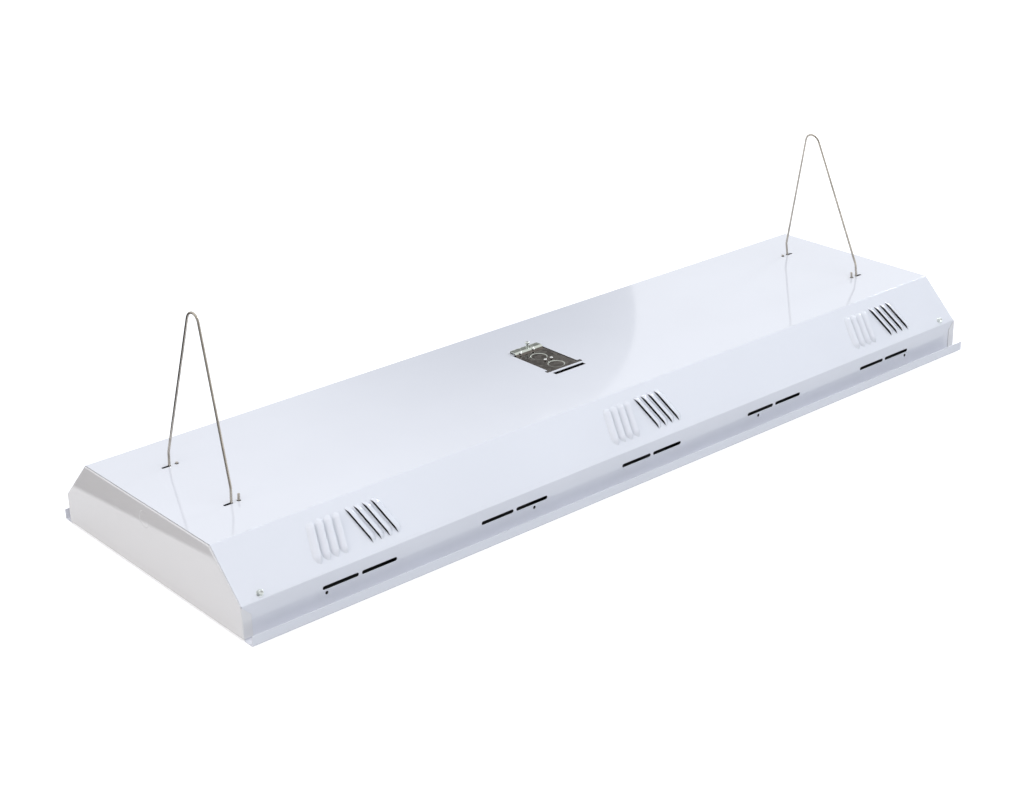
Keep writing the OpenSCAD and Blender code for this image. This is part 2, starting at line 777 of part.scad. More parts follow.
module socket_bar_left() { mirror([1, 0, 0]) socket_bar(); }
module socket_bar_right() { socket_bar(); }

// A lampholder with its back on the bar, a round recess for the rotor and a slot for the pins
module lampholder() {
    difference() {
        union() {
            rotate([90, 0, 90]) linear_extrude(holder_t) {
                circle(d = holder_w, $fn = round_fn);
                translate([-holder_w / 2, 0]) square([holder_w, holder_rise]);
            }
            translate([holder_t, -boss_w / 2, boss_rise - boss_h / 2]) cube([boss_l, boss_w, boss_h]);
        }
        translate([-over, 0, 0]) rotate([0, 90, 0])
            cylinder(h = over + rotor_start + rotor_l + rotor_fit, r = rotor_r + rotor_fit, $fn = round_fn);
        translate([-over, -entry_slot / 2, -holder_w])
            cube([over + rotor_start + rotor_l + rotor_fit, entry_slot, holder_w]);
    }
}

module lampholders() {
    color(bright) for (y = lamp_ys) translate([holder_x, y, lamp_z]) lampholder();
}

module lampholders_left() { mirror([1, 0, 0]) lampholders(); }
module lampholders_right() { lampholders(); }

// Lamps

module at_lamp(k) { translate([0, lamp_ys[k - 1], lamp_z]) children(); }

module lamp_tube(k) {
    color(bright) at_lamp(k) along_x(glass_l) difference() {
        circle(d = lamp_d, $fn = round_fn);
        circle(d = lamp_d - 2 * glass_t, $fn = round_fn);
    }
}

module lamp_cap() {
    translate([glass_l / 2, 0, 0]) rotate([0, 90, 0]) {
        cylinder(h = lamp_cap_l, d = lamp_d, $fn = round_fn);
        translate([0, 0, -cap_spigot_l])
            cylinder(h = cap_spigot_l, r = lamp_d / 2 - glass_t - cap_spigot_fit, $fn = round_fn);
    }
    for (s = [-1, 1]) translate([lamp_x, s * pin_gap / 2, 0]) rotate([0, 90, 0])
        cylinder(h = pin_l, d = pin_d, $fn = round_fn);
}

module lamp_caps(k) { color(zinc) at_lamp(k) both_ends() lamp_cap(); }

module lamp_rotor() {
    translate([holder_x + rotor_start, 0, 0]) difference() {
        rotate([0, 90, 0]) cylinder(h = rotor_l, r = rotor_r, $fn = round_fn);
        translate([-over, -rotor_r - over, -rotor_slot / 2])
            cube([over + pin_l, 2 * (rotor_r + over), rotor_slot]);
    }
}

module lamp_rotors(k) { color(bright) at_lamp(k) both_ends() lamp_rotor(); }

// Reflectors

trough_h = crest_z - reflector_z;
reflector_wall_y = walls_w / 2 - sheet_t - reflector_fit - reflector_t;
// Lower face of the far half, from the middle of the light to the wall
reflector_path = concat(
    [[seat_gap, reflector_z]],
    [for (i = [0:reflector_half_count - 1], p = trough_shares)
        [(i + 0.5 + p.x / 2) * lamp_pitch, reflector_z + p.y * trough_h]],
    [[reflector_wall_y, reflector_z], [reflector_wall_y, reflector_z - reflector_hem]]);

module reflector() {
    color(bright) difference() {
        along_x(reflector_l) polygon(sheet(reflector_path, reflector_t, reflector_r, reflector_steps));
        each_reflector_screw() translate([0, 0, -reflector_screw_l])
            cylinder(h = 2 * reflector_screw_l, r = reflector_screw_r + seat_gap, $fn = round_fn);
    }
}

module reflector_far() { reflector(); }
module reflector_near() { mirror([0, 1, 0]) reflector(); }

module reflector_screws() {
    color(zinc) each_reflector_screw() translate([0, 0, -seat_gap - reflector_t]) rotate([180, 0, 0])
        pan_screw(reflector_screw_r, reflector_screw_l, reflector_screw_head_r, reflector_screw_head_h);
}

hood();
end_cap_left();
end_cap_right();
slope_screws();
access_cover();
cover_screw();
hanger_left();
hanger_right();
ballast_channel();
four_lamp_ballast();
two_lamp_ballast();
ballast_screws();
socket_bar_left();
socket_bar_right();
lampholders_left();
lampholders_right();
reflector_near();
reflector_far();
reflector_screws();
for (k = lamps) lamp_tube(k);
for (k = lamps) lamp_caps(k);
for (k = lamps) lamp_rotors(k);
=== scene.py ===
import json
import math
from collections import namedtuple

import bpy
from bpy.props import FloatProperty, FloatVectorProperty, PointerProperty
from mathutils import Matrix, Vector

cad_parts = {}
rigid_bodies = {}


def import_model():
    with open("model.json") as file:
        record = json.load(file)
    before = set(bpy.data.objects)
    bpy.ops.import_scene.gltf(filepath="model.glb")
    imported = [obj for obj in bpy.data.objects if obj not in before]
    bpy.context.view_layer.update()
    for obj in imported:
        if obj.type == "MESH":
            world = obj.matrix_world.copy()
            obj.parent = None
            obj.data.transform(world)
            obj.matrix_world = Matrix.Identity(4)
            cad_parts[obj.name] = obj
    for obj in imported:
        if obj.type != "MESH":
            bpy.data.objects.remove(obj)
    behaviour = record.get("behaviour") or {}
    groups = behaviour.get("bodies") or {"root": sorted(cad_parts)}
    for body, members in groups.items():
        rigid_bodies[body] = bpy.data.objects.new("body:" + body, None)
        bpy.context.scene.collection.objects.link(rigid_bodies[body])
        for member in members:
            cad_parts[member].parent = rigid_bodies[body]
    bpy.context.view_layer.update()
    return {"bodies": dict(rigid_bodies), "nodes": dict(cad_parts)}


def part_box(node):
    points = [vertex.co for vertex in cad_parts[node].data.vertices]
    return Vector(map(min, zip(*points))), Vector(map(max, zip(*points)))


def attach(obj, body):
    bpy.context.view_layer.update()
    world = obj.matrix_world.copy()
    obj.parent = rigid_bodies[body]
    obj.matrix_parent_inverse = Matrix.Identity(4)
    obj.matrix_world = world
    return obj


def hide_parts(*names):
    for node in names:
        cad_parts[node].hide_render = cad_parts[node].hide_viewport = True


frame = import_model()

bl_info = {
    "name": "Hanging Shop Light Finishes",
    "version": (1, 0, 0),
    "blender": (4, 5, 0),
    "location": "View3D > Sidebar > Shop Light",
    "description": "Finishes, small hardware and a studio for a long louvred shop light",
    "category": "Object",
}

nodes = frame["nodes"]
LAMPS = sorted(name for name in frame["bodies"] if name.startswith("lamp_"))

# Colours of light, dust, age and wear
WHITE = (1.0, 1.0, 1.0, 1.0)
BLACK = (0.0, 0.0, 0.0, 1.0)
SETTLED_DUST = (0.42, 0.40, 0.37, 1.0)
YELLOWED = (0.62, 0.55, 0.36, 1.0)
BARE_STEEL = (0.62, 0.63, 0.65, 1.0)
BARE_ZINC = (0.62, 0.66, 0.64, 1.0)
THIN_ENAMEL = (0.35, 0.35, 0.36, 1.0)
THIN_PLASTIC = (0.95, 0.95, 0.93, 1.0)

# Fineness of the patterns, in features to the metre
CLOUDS = 5.0
SMUDGES = 22.0
SPECKS = 420.0
TARNISH = 60.0
CRYSTAL_WOBBLE = 260.0
FLOW_MARKS = 90.0
MOULD_GRAIN = 2600.0
WORN_PATCHES = 130.0
HIGHLIGHT_PATCHES = 90.0
LAMP_POWDER = 900.0
LAMP_CLOUDS = 40.0
PAPER_FIBRE = 300.0

# Constants of the shaders of paint, plastic and glass, and of metal
PLAIN = {"IOR": 1.5}
METALLIC = {"Metallic": 1.0}
BEVEL_SAMPLES = 4

# Pan head screws by CAD node: which way along Z the heads look, their radius and height, the shank's length
PanScrew = namedtuple("PanScrew", "way radius height shank")
PAN_SCREWS = {
    "cover_screw": PanScrew(1, 0.0034, 0.0024, 0.0135),
    "ballast_screws": PanScrew(1, 0.004, 0.0024, 0.006),
    "reflector_screws": PanScrew(-1, 0.0036, 0.002, 0.005),
}
# All of one screw lies within this length, and the next lies further off
SCREW_SPAN = 0.02

# The dimples on the cover's panel by X and Y, and those on its ramp by X
PANEL_DIMPLES = ((-0.0039, 0.0058), (0.0066, 0.0057))
RAMP_DIMPLES = (-0.015, 0.0073)
# Height over which the painted shade on the hood's inner side fades in above the reflectors
INSIDE_SHADE_EDGE = 0.0004
# Heights over the cover at which the painted highlight on its raised end starts and is full
HIGHLIGHT_FROM, HIGHLIGHT_TO = 0.0003, 0.0009
# Distances from a knockout's rim within which the cover takes a little painted highlight, and the full one
RIM_REACH, RIM_CORE = 0.0011, 0.0003

# The studio, in metres, but for the sensor in millimetres
FLOOR_HALF = 6.0
FLOOR_GAP = 0.0003
GLOW_NEAR, GLOW_FAR = 0.8, 1.6
TABLE_BLUR = 0.003
LIGHTS_LOOK_AT = (0.0, 0.0, 0.05)
SENSOR_WIDTH = 36.0
NEAR_CLIP, FAR_CLIP = 0.05, 50.0

# The room that gloss mirrors, in degrees of turn and of height: its dim far end and how wide that is,
# the middle and the rim of the round screen beside it, and the turns between which the screen comes in
DIM_AT, DIM_WIDTH = (39, 20), (6.5, 4)
SCREEN_AT, SCREEN_RIM = (41.1, 20.9), (2.8, 3.0)
SCREEN_FROM, SCREEN_TO = 40.0, 41.1
# The direction behind the camera, where the mirrored room is dimmer
BEHIND_CAMERA = (-0.59, -0.70, 0.40)


# Sizes and colours that a user would change


def colour(name, description, default):
    """A colour property."""
    return FloatVectorProperty(
        name=name, description=description, subtype="COLOR", size=3, min=0, max=1, default=default)


def length(name, description, default):
    """A length property in metres."""
    return FloatProperty(
        name=name, description=description, unit="LENGTH", min=0, precision=5, default=default)


def spot(name, description, default):
    """A place along one axis in metres, which may lie below zero."""
    return FloatProperty(name=name, description=description, unit="LENGTH", precision=5, default=default)


def lengths(name, description, default):
    """Metres that belong together, such as a place in space or the two sides of a light."""
    return FloatVectorProperty(
        name=name, description=description, unit="LENGTH", size=len(default), default=default)


def angle(name, description, degrees):
    """An angle property, given in degrees and kept in radians."""
    return FloatProperty(name=name, description=description, subtype="ANGLE", default=math.radians(degrees))


def power(name, description, default):
    """The power of a light in watts."""
    return FloatProperty(name=name, description=description, unit="POWER", min=0, default=default)


def share(name, description, default):
    """A property without a unit, from 0 to 1."""
    return FloatProperty(name=name, description=description, min=0, max=1, default=default)


class PaintSettings(bpy.types.PropertyGroup):
    hood: colour("Hood", "Gloss powder paint on the hood", (0.79, 0.793, 0.84))
    # The end caps have the hood's paint, tinted warmer as painted light from the left end
    cap: colour("End caps", "Gloss powder paint on the end caps", (0.80, 0.785, 0.79))
    # Near black painted shade on the hood's inner side, which keeps its openings dark
    inside_shade: colour("Lining", "Dull primer on the inner side of the hood", (0.05, 0.05, 0.053))
    inside: colour("Inside", "Powder paint on the channel and the socket bars", (0.78, 0.79, 0.82))
    ballast: colour("Ballasts", "Satin enamel on the ballast cans", (0.035, 0.035, 0.04))
    skin: length("Skin", "Depth of the gloss paint", 0.00045)
    gloss_roughness: share("Gloss roughness", "Roughness of the powder paint", 0.035)
    peel: length("Orange peel", "Size of the ripples in the powder paint", 0.0016)
    dust: share("Dust", "Amount of dust on faces that look up", 0.12)


class MetalSettings(bpy.types.PropertyGroup):
    wire: colour("Hanger wire", "Zinc-plated spring wire", (0.58, 0.53, 0.46))
    screw: colour("Screws", "Bright zinc plate", (0.80, 0.84, 0.82))
    # The cover keeps zinc's own spangle, but its tones are far darker than zinc, as painted dark reflection
    cover: colour("Access cover", "Galvanised sheet", (0.11, 0.095, 0.085))
    cover_light: colour("Light crystals", "Lighter crystals of the cover", (0.17, 0.155, 0.14))
    # Painted highlight on the cover's raised end and knockout rims
    cover_highlight: colour("Rubbed zinc", "Zinc on the pressed parts of the cover", (0.62, 0.66, 0.61))
    # The dimples are painted near white, as painted highlights on the cover's zinc
    dimple_highlight: colour("Dimples", "Bright zinc on the pressed dimples", (0.92, 0.94, 0.93))
    reflector: colour("Reflectors", "Bright rolled aluminium", (0.86, 0.87, 0.88))
    # Dark painted shade on the backs of the reflectors, inside the hood
    reflector_back_shade: colour("Reflector backs", "Dull back of the reflector sheet", (0.14, 0.14, 0.14))
    lamp: colour("Lamp caps", "Aluminium lamp caps and pins", (0.70, 0.71, 0.72))
    crystal: length("Crystal size", "Size of the zinc crystals", 0.006)
    grain: length("Grain", "Spacing of the fine lines on metal", 0.0005)


class LampSettings(bpy.types.PropertyGroup):
    glass: colour("Lamp glass", "Opal coating seen through the glass", (0.86, 0.87, 0.86))
    glass_end: colour("Lamp ends", "Greyer coating at the ends of a lamp", (0.50, 0.49, 0.47))
    grey_from: length("Grey from", "Where the coating starts to grey", 0.535)
    grey_to: length("Grey to", "Where the coating is all grey", 0.568)
    holder: colour("Lampholders", "White moulded plastic", (0.80, 0.80, 0.77))
    insulator: colour("Insulators", "Discs that carry the pins of a lamp", (0.45, 0.33, 0.20))
    insulator_radius: length("Insulator radius", "Radius of the disc in the cap", 0.0058)
    insulator_height: length("Insulator height", "Height of the disc over the cap", 0.00035)


class HardwareSettings(bpy.types.PropertyGroup):
    hex_radius: length("Hexagon", "Radius over the corners of the head", 0.0037)
    hex_height: length("Head height", "Height of the hexagon", 0.0032)
    flange_radius: length("Washer radius", "Radius of the washer", 0.0043)
    flange_height: length("Washer height", "Height of the washer", 0.0008)
    shank_radius: length("Shank radius", "Radius of the shank without its thread", 0.0015)
    shank_length: length("Shank length", "Length of the shank", 0.008)
    pan_shank: length("Pan screw shank", "Radius of a pan head screw's shank", 0.0017)
    dimple_radius: length("Dimple radius", "Radius of the pressed dimples", 0.0021)
    dimple_height: length("Dimple height", "Height of the pressed dimples", 0.0009)
    cover_sheet: length("Cover sheet", "Thickness of the access cover", 0.0009)
    knockout_near: spot("Near knockout", "Middle of the near knockout", -0.0115)
    knockout_far: spot("Far knockout", "Middle of the far knockout", 0.023)
    knockout_radius: length("Knockout radius", "Radius of the knockouts", 0.011)
    ramp_y: spot("Ramp", "Middle of the cover's ramp", 0.0422)
    ramp_rise: length("Ramp rise", "Height of the ramp over the cover", 0.00175)


class StudioSettings(bpy.types.PropertyGroup):
    azimuth: angle("Azimuth", "Direction of the camera round the light", -39.913)
    elevation: angle("Elevation", "Height of the camera", 23.413)
    roll: angle("Roll", "Turn of the camera about its axis", -1.549)
    distance: length("Distance", "Distance of the camera along its axis", 2.485192)
    right: spot("Right", "Move of the camera to its right", -0.052814)
    up: spot("Up", "Move of the camera upwards", 0.036845)
    lens: FloatProperty(name="Lens", description="Focal length", unit="CAMERA", min=1, default=65.604)
    floor: colour("Floor", "Plain pale floor", (0.70, 0.70, 0.71))
    key: power("Key light", "Power of the large light overhead", 38.0)
    key_place: lengths("Key place", "Where the large light hangs", (-0.1, -1.2, 2.5))
    key_size: lengths("Key size", "Sides of the large light", (3.2, 1.6))
    key_tint: colour("Key tint", "Cool daylight of the large light", (0.95, 0.985, 1.0))
    rim: power("Rim light", "Power of the small light that marks the folds", 11.0)
    rim_place: lengths("Rim place", "Where the small light stands", (2.5, 0.22, 1.63))
    rim_size: lengths("Rim size", "Sides of the small light", (0.5, 0.5))
    end: power("End light", "Power of the end light", 7.5)
    end_place: lengths("End place", "Where the end light stands", (-2.2, -0.2, 1.2))
    end_size: lengths("End size", "Sides of the end light", (1.2, 1.0))
    end_tint: colour("End tint", "Warm light on the left end", (1.0, 0.94, 0.87))
    room_front: colour("Room in front", "Light from the near side", (0.32, 0.37, 0.43))
    room_far: colour("Room behind", "Light from the far side", (0.60, 0.62, 0.66))
    room_left: colour("Room at the left", "Light from the left end", (0.50, 0.46, 0.41))
    room_top: colour("Room overhead", "Light from above", (0.575, 0.615, 0.69))
    table_end: spot("Table end", "Where the white table ends in reflections", -0.688)
    table_slant: share("Table slant", "Slant of the table's end", 0.09)


class ShopLightSettings(bpy.types.PropertyGroup):
    paint: PointerProperty(type=PaintSettings)
    metal: PointerProperty(type=MetalSettings)
    lamp: PointerProperty(type=LampSettings)
    hardware: PointerProperty(type=HardwareSettings)
    studio: PointerProperty(type=StudioSettings)


def settings():
    return bpy.context.scene.shop_light


# Node trees


def place(tree, kind, inputs=None, **attributes):
    """Adds a node, sets its attributes and fills its inputs with values or other nodes' sockets."""
    made = tree.nodes.new(kind)
    for name, value in attributes.items():
        setattr(made, name, value)
    for name, value in (inputs or {}).items():
        if isinstance(value, bpy.types.NodeSocket):
            tree.links.new(value, made.inputs[name])
        else:
            made.inputs[name].default_value = value
    return made


def calc(tree, operation, *values, clamp=False):
    """A math node's result."""
    made = place(tree, "ShaderNodeMath", dict(enumerate(values)), operation=operation, use_clamp=clamp)
    return made.outputs[0]


def times(tree, first, second, clamp=False):
    return calc(tree, "MULTIPLY", first, second, clamp=clamp)


def plus(tree, first, second, clamp=False):
    return calc(tree, "ADD", first, second, clamp=clamp)


def less(tree, first, second):
    return calc(tree, "SUBTRACT", first, second)


def over(tree, first, second):
    return calc(tree, "DIVIDE", first, second)


def vectors(tree, operation, *values):
    """The outputs of a vector math node, Vector and Value."""
    return place(tree, "ShaderNodeVectorMath", dict(enumerate(values)), operation=operation).outputs


def scaled(tree, vector, factor):
    """A vector or colour times a number."""
    return place(tree, "ShaderNodeVectorMath", {0: vector, 3: factor}, operation="SCALE").outputs[0]


def split(tree, vector):
    """The X, Y and Z of a vector."""
    return place(tree, "ShaderNodeSeparateXYZ", {0: vector}).outputs


def spread(tree, **axes):
    """A vector from its X, Y and Z."""
    return place(tree, "ShaderNodeCombineXYZ", axes).outputs[0]


def object_coords(tree):
    return place(tree, "ShaderNodeTexCoord").outputs["Object"]


def remap(tree, value, low, high, to_low=0.0, to_high=1.0):
    """value taken from the range low..high to the range to_low..to_high, and kept inside it."""
    inputs = {"Value": value, "From Min": low, "From Max": high, "To Min": to_low, "To Max": to_high}
    return place(tree, "ShaderNodeMapRange", inputs).outputs["Result"]


def blend_colours(tree, factor, first, second):
    """first where factor is 0 and second where it is 1."""
    return place(tree, "ShaderNodeMix", {0: factor, 6: first, 7: second}, data_type="RGBA").outputs[2]


def noise(tree, coords, scale, detail=2.0, roughness=0.5):
    inputs = {"Vector": coords, "Scale": scale, "Detail": detail, "Roughness": roughness}
    return place(tree, "ShaderNodeTexNoise", inputs).outputs["Fac"]


def new_group(name, kind, inputs, outputs):
    """A node group with named sockets. Returns it with the sockets of its entry and its exit."""
    tree = bpy.data.node_groups.new(name, kind)
    for label, (socket, default) in inputs.items():
        made = tree.interface.new_socket(label, in_out="INPUT", socket_type="NodeSocket" + socket)
        if default is not None:
            made.default_value = default
    for label, socket in outputs.items():
        tree.interface.new_socket(label, in_out="OUTPUT", socket_type="NodeSocket" + socket)
    return tree, tree.nodes.new("NodeGroupInput").outputs, tree.nodes.new("NodeGroupOutput").inputs


def effect_group(name, inputs):
    """A shader group that takes in a colour and puts out a colour, a roughness and a height."""
    outputs = {"Color": "Color", "Roughness": "Float", "Height": "Float"}
    return new_group(name, "ShaderNodeTree", {"Color": ("Color", None), **inputs}, outputs)


def give(tree, leave, *results):
    """Links results to a group's outputs, in their order."""
    for result, output in zip(results, leave):
        tree.links.new(result, output)


def powder_paint(name):
    """Sprayed and baked paint: orange peel, faint clouds of tone, smudges and dust."""
    tree, enter, leave = effect_group(name, {
        "Roughness": ("Float", 0.2), "Peel Size": ("Float", 0.0015), "Dust": ("Float", 0.1)})
    coords = object_coords(tree)
    peel = noise(tree, coords, over(tree, 1.0, enter["Peel Size"]), 1.0, 0.4)
    clouds = noise(tree, coords, CLOUDS, 3.0)
    smudges = noise(tree, coords, SMUDGES, 4.0, 0.6)
    clouded = scaled(tree, enter["Color"], remap(tree, clouds, 0.35, 0.65, 0.985, 1.01))
    up = split(tree, place(tree, "ShaderNodeNewGeometry").outputs["Normal"])[2]
    specks = remap(tree, noise(tree, coords, SPECKS, 3.0, 0.7), 0.66, 0.74)
    settled = times(tree, remap(tree, up, 0.2, 0.9), remap(tree, smudges, 0.5, 0.75))
    dust = times(tree, times(tree, specks, settled), enter["Dust"], clamp=True)
    tint = blend_colours(tree, dust, clouded, SETTLED_DUST)
    rough = plus(tree, enter["Roughness"], remap(tree, smudges, 0.35, 0.7, -0.01, 0.02))
    rough = plus(tree, rough, times(tree, dust, 0.4), clamp=True)
    give(tree, leave, tint, rough, plus(tree, peel, times(tree, dust, 0.5)))
    return tree


def drawn_metal(name):
    """Metal with fine lines along one way, cloudy tarnish and a little grime."""
    tree, enter, leave = effect_group(name, {
        "Dark Color": ("Color", None), "Roughness": ("Float", 0.3), "Grain": ("Float", 0.0005),
        "Stretch": ("Vector", (1, 1, 1)), "Tarnish": ("Float", 0.3)})
    coords = object_coords(tree)
    along = vectors(tree, "MULTIPLY", coords, enter["Stretch"])[0]
    lines = noise(tree, along, over(tree, 1.0, enter["Grain"]), 2.0, 0.6)
    clouds = noise(tree, coords, TARNISH, 4.0, 0.6)
    stain = times(tree, remap(tree, clouds, 0.42, 0.68), enter["Tarnish"])
    streak = times(tree, remap(tree, lines, 0.3, 0.7), 0.25)
    factor = plus(tree, stain, streak, clamp=True)
    tint = blend_colours(tree, factor, enter["Color"], enter["Dark Color"])
    rough = plus(tree, enter["Roughness"], remap(tree, lines, 0.3, 0.7, -0.05, 0.07))
    rough = plus(tree, rough, times(tree, stain, 0.3), clamp=True)
    give(tree, leave, tint, rough, lines)
    return tree


def zinc_crystals(name):
    """The spangle of hot-dip galvanised sheet: flat crystals of uneven tone, with fine feathering."""
    tree, enter, leave = effect_group(name, {
        "Light Color": ("Color", None), "Roughness": ("Float", 0.3), "Crystal Size": ("Float", 0.006)})
    coords = object_coords(tree)
    fineness = over(tree, 1.0, enter["Crystal Size"])
    wobble = place(tree, "ShaderNodeTexNoise", {"Vector": coords, "Scale": CRYSTAL_WOBBLE, "Detail": 2.0})
    bent = vectors(tree, "ADD", coords, scaled(tree, wobble.outputs["Color"], 0.002))[0]
    cells = place(tree, "ShaderNodeTexVoronoi", {"Vector": bent, "Scale": fineness})
    tone = place(tree, "ShaderNodeSeparateColor", {0: cells.outputs["Color"]}).outputs[0]
    feather = noise(tree, bent, times(tree, fineness, 6.0), 3.0, 0.7)
    factor = plus(tree, times(tree, tone, 0.6), remap(tree, feather, 0.3, 0.7, 0.0, 0.4), clamp=True)
    tint = blend_colours(tree, factor, enter["Color"], enter["Light Color"])
    rough = plus(tree, enter["Roughness"], remap(tree, tone, 0, 1, -0.05, 0.07), clamp=True)
    give(tree, leave, tint, rough, plus(tree, times(tree, tone, 0.5), feather))
    return tree


def moulded_plastic(name):
    """Injection-moulded plastic: a fine grain, soft flow marks and a little yellowing."""
    inputs = {"Roughness": ("Float", 0.35), "Yellowing": ("Float", 0.15)}
    tree, enter, leave = effect_group(name, inputs)
    coords = object_coords(tree)
    flow = noise(tree, coords, FLOW_MARKS, 3.0)
    aged = times(tree, remap(tree, flow, 0.4, 0.7), enter["Yellowing"])
    tint = blend_colours(tree, aged, enter["Color"], YELLOWED)
    rough = plus(tree, enter["Roughness"], remap(tree, flow, 0.3, 0.7, -0.04, 0.08))
    give(tree, leave, tint, rough, noise(tree, coords, MOULD_GRAIN, 1.0))
    return tree


def worn_edges(name):
    """A mask of sharp edges, broken up, where paint is thin or plating is rubbed."""
    inputs = {"Width": ("Float", 0.0006), "Amount": ("Float", 0.5)}
    tree, enter, leave = new_group(name, "ShaderNodeTree", inputs, {"Mask": "Float"})
    coords = object_coords(tree)
    soft = place(tree, "ShaderNodeBevel", {"Radius": enter["Width"]}, samples=BEVEL_SAMPLES).outputs[0]
    flat = place(tree, "ShaderNodeNewGeometry").outputs["True Normal"]
    edge = remap(tree, vectors(tree, "DOT_PRODUCT", soft, flat)["Value"], 0.985, 0.80)
    patches = remap(tree, noise(tree, coords, WORN_PATCHES, 4.0, 0.65), 0.35, 0.62)
    give(tree, leave, times(tree, times(tree, edge, patches), enter["Amount"], clamp=True))
    return tree


def rgba(value):
    return (*value, 1.0)


def toned(color, factor):
    """A colour made darker or lighter, with an alpha of 1."""
    return rgba(channel * factor for channel in color)


def new_material(name, shader):
    """A material with the given constants on its shader. Returns it with its tree and that shader."""
    material = bpy.data.materials.new(name)
    material.use_nodes = True
    principled = material.node_tree.nodes["Principled BSDF"]
    for label, value in shader.items():
        principled.inputs[label].default_value = value
    return material, material.node_tree, principled


def feed(tree, principled, color, roughness, depth, height, **normal):
    """Links a colour, a roughness and a bump of a depth in metres to a shader."""
    bump = place(tree, "ShaderNodeBump", {"Strength": 1.0, "Distance": depth, "Height": height, **normal})
    tree.links.new(color, principled.inputs["Base Color"])
    tree.links.new(roughness, principled.inputs["Roughness"])
    tree.links.new(bump.outputs[0], principled.inputs["Normal"])


def effect(tree, name, values):
    """Places a shared effect in a material with its own values, and returns its outputs."""
    return place(tree, "ShaderNodeGroup", values, node_tree=shared(name)).outputs


def surface(name, effect_name, color, values, shader, relief, bare=None, edge_width=0.0004, edge_wear=0.4):
    """A material of a colour from one shared effect. values fill the effect, shader holds the constants of
    the Principled shader, relief the depth of the bump in metres, and bare the colour of worn edges."""
    material, tree, principled = new_material(name, shader)
    made = effect(tree, effect_name, {"Color": rgba(color), **values})
    tint = made["Color"]
    if bare:
        mask = effect(tree, "Worn Edges", {"Width": edge_width, "Amount": edge_wear})["Mask"]
        tint = blend_colours(tree, mask, tint, bare)
    soft = place(tree, "ShaderNodeBevel", {"Radius": edge_width}, samples=BEVEL_SAMPLES).outputs[0]
    feed(tree, principled, tint, made["Roughness"], relief, made["Height"], Normal=soft)
    return material


def gloss_paint(name, color, dust=None):
    """Powder paint with a clear gloss skin."""
    paint = settings().paint
    return surface(name, "Powder Paint", color, {
        "Roughness": paint.gloss_roughness, "Peel Size": paint.peel,
        "Dust": paint.dust if dust is None else dust},
        {**PLAIN, "Coat Weight": 0.3, "Coat Roughness": 0.02}, relief=0.0000025, bare=BARE_STEEL)


def metal(name, color, dark, roughness, tarnish, stretch=(1.0, 1.0, 1.0), relief=0.000004, edges=None):
    """Drawn metal. dark and edges give the tone of its streaks and worn edges, as shares of its colour."""
    return surface(name, "Drawn Metal", color, {
        "Dark Color": toned(color, dark), "Roughness": roughness, "Grain": settings().metal.grain,
        "Stretch": stretch, "Tarnish": tarnish},
        METALLIC, relief, toned(color, edges) if edges else None, edge_width=0.0003, edge_wear=0.5)


def put(name, data):
    """A new object in the scene."""
    made = bpy.data.objects.new(name, data)
    bpy.context.scene.collection.objects.link(made)
    return made


def dress(material, *names):
    """Gives CAD nodes a material, which stays in their own slots."""
    for name in names:
        for held in nodes[name].material_slots:
            held.material = material


def repaint(material, mask, color):
    """Lays a colour over the material's own where mask is 1."""
    tree = material.node_tree
    base = tree.nodes["Principled BSDF"].inputs["Base Color"]
    tree.links.new(blend_colours(tree, mask, base.links[0].from_socket, rgba(color)), base)


# Small hardware, made by geometry nodes on a few seat points


def geometry_tree(name, sizes):
    """A geometry tree with a mesh of seat points and named sizes going in."""
    inputs = {"Geometry": ("Geometry", None), "Material": ("Material", None)}
    inputs.update({label: ("Float", value) for label, value in sizes.items()})
    tree, enter, leave = new_group(name, "GeometryNodeTree", inputs, {"Geometry": "Geometry"})
    tree.is_modifier = True
    return tree, enter, leave


def moved(tree, mesh, z=0.0, scale=(1, 1, 1)):
    """The mesh scaled and lifted to height z, either of which may be a socket."""
    inputs = {"Geometry": mesh, "Translation": spread(tree, Z=z), "Scale": scale}
    return place(tree, "GeometryNodeTransform", inputs).outputs[0]


def combine(tree, operation, first, *others):
    """A boolean of meshes."""
    made = place(tree, "GeometryNodeMeshBoolean", operation=operation, solver="EXACT")
    tree.links.new(first, made.inputs["Mesh 1" if operation == "DIFFERENCE" else "Mesh 2"])
    for mesh in others:
        tree.links.new(mesh, made.inputs["Mesh 2"])
    return made.outputs["Mesh"]


def set_on_seats(tree, enter, leave, part):
    """Stands the part on every seat point, along its axis, and gives it the material."""
    axis = place(tree, "GeometryNodeInputNamedAttribute", {"Name": "axis"}, data_type="FLOAT_VECTOR")
    turn = place(tree, "FunctionNodeAlignRotationToVector", {"Vector": axis.outputs[0]}, axis="Z").outputs[0]
    inputs = {"Points": enter["Geometry"], "Instance": part, "Rotation": turn}
    stood = place(tree, "GeometryNodeInstanceOnPoints", inputs).outputs[0]
    real = place(tree, "GeometryNodeRealizeInstances", {"Geometry": stood}).outputs[0]
    given = place(tree, "GeometryNodeSetMaterial", {"Geometry": real, "Material": enter["Material"]})
    give(tree, leave, given.outputs[0])


def cylinder(tree, radius, depth, sides):
    """A cylinder that stands on z = 0."""
    inputs = {"Vertices": sides, "Radius": radius, "Depth": depth}
    made = place(tree, "GeometryNodeMeshCylinder", inputs).outputs["Mesh"]
    return moved(tree, made, times(tree, depth, 0.5))


def shank(tree, radius, depth, sides):
    """A cylinder that hangs from z = 0."""
    return moved(tree, cylinder(tree, radius, depth, sides), times(tree, depth, -1.0))


def ball(tree, radius, rings):
    inputs = {"Segments": 2 * rings, "Rings": rings, "Radius": radius}
    return place(tree, "GeometryNodeMeshUVSphere", inputs).outputs["Mesh"]


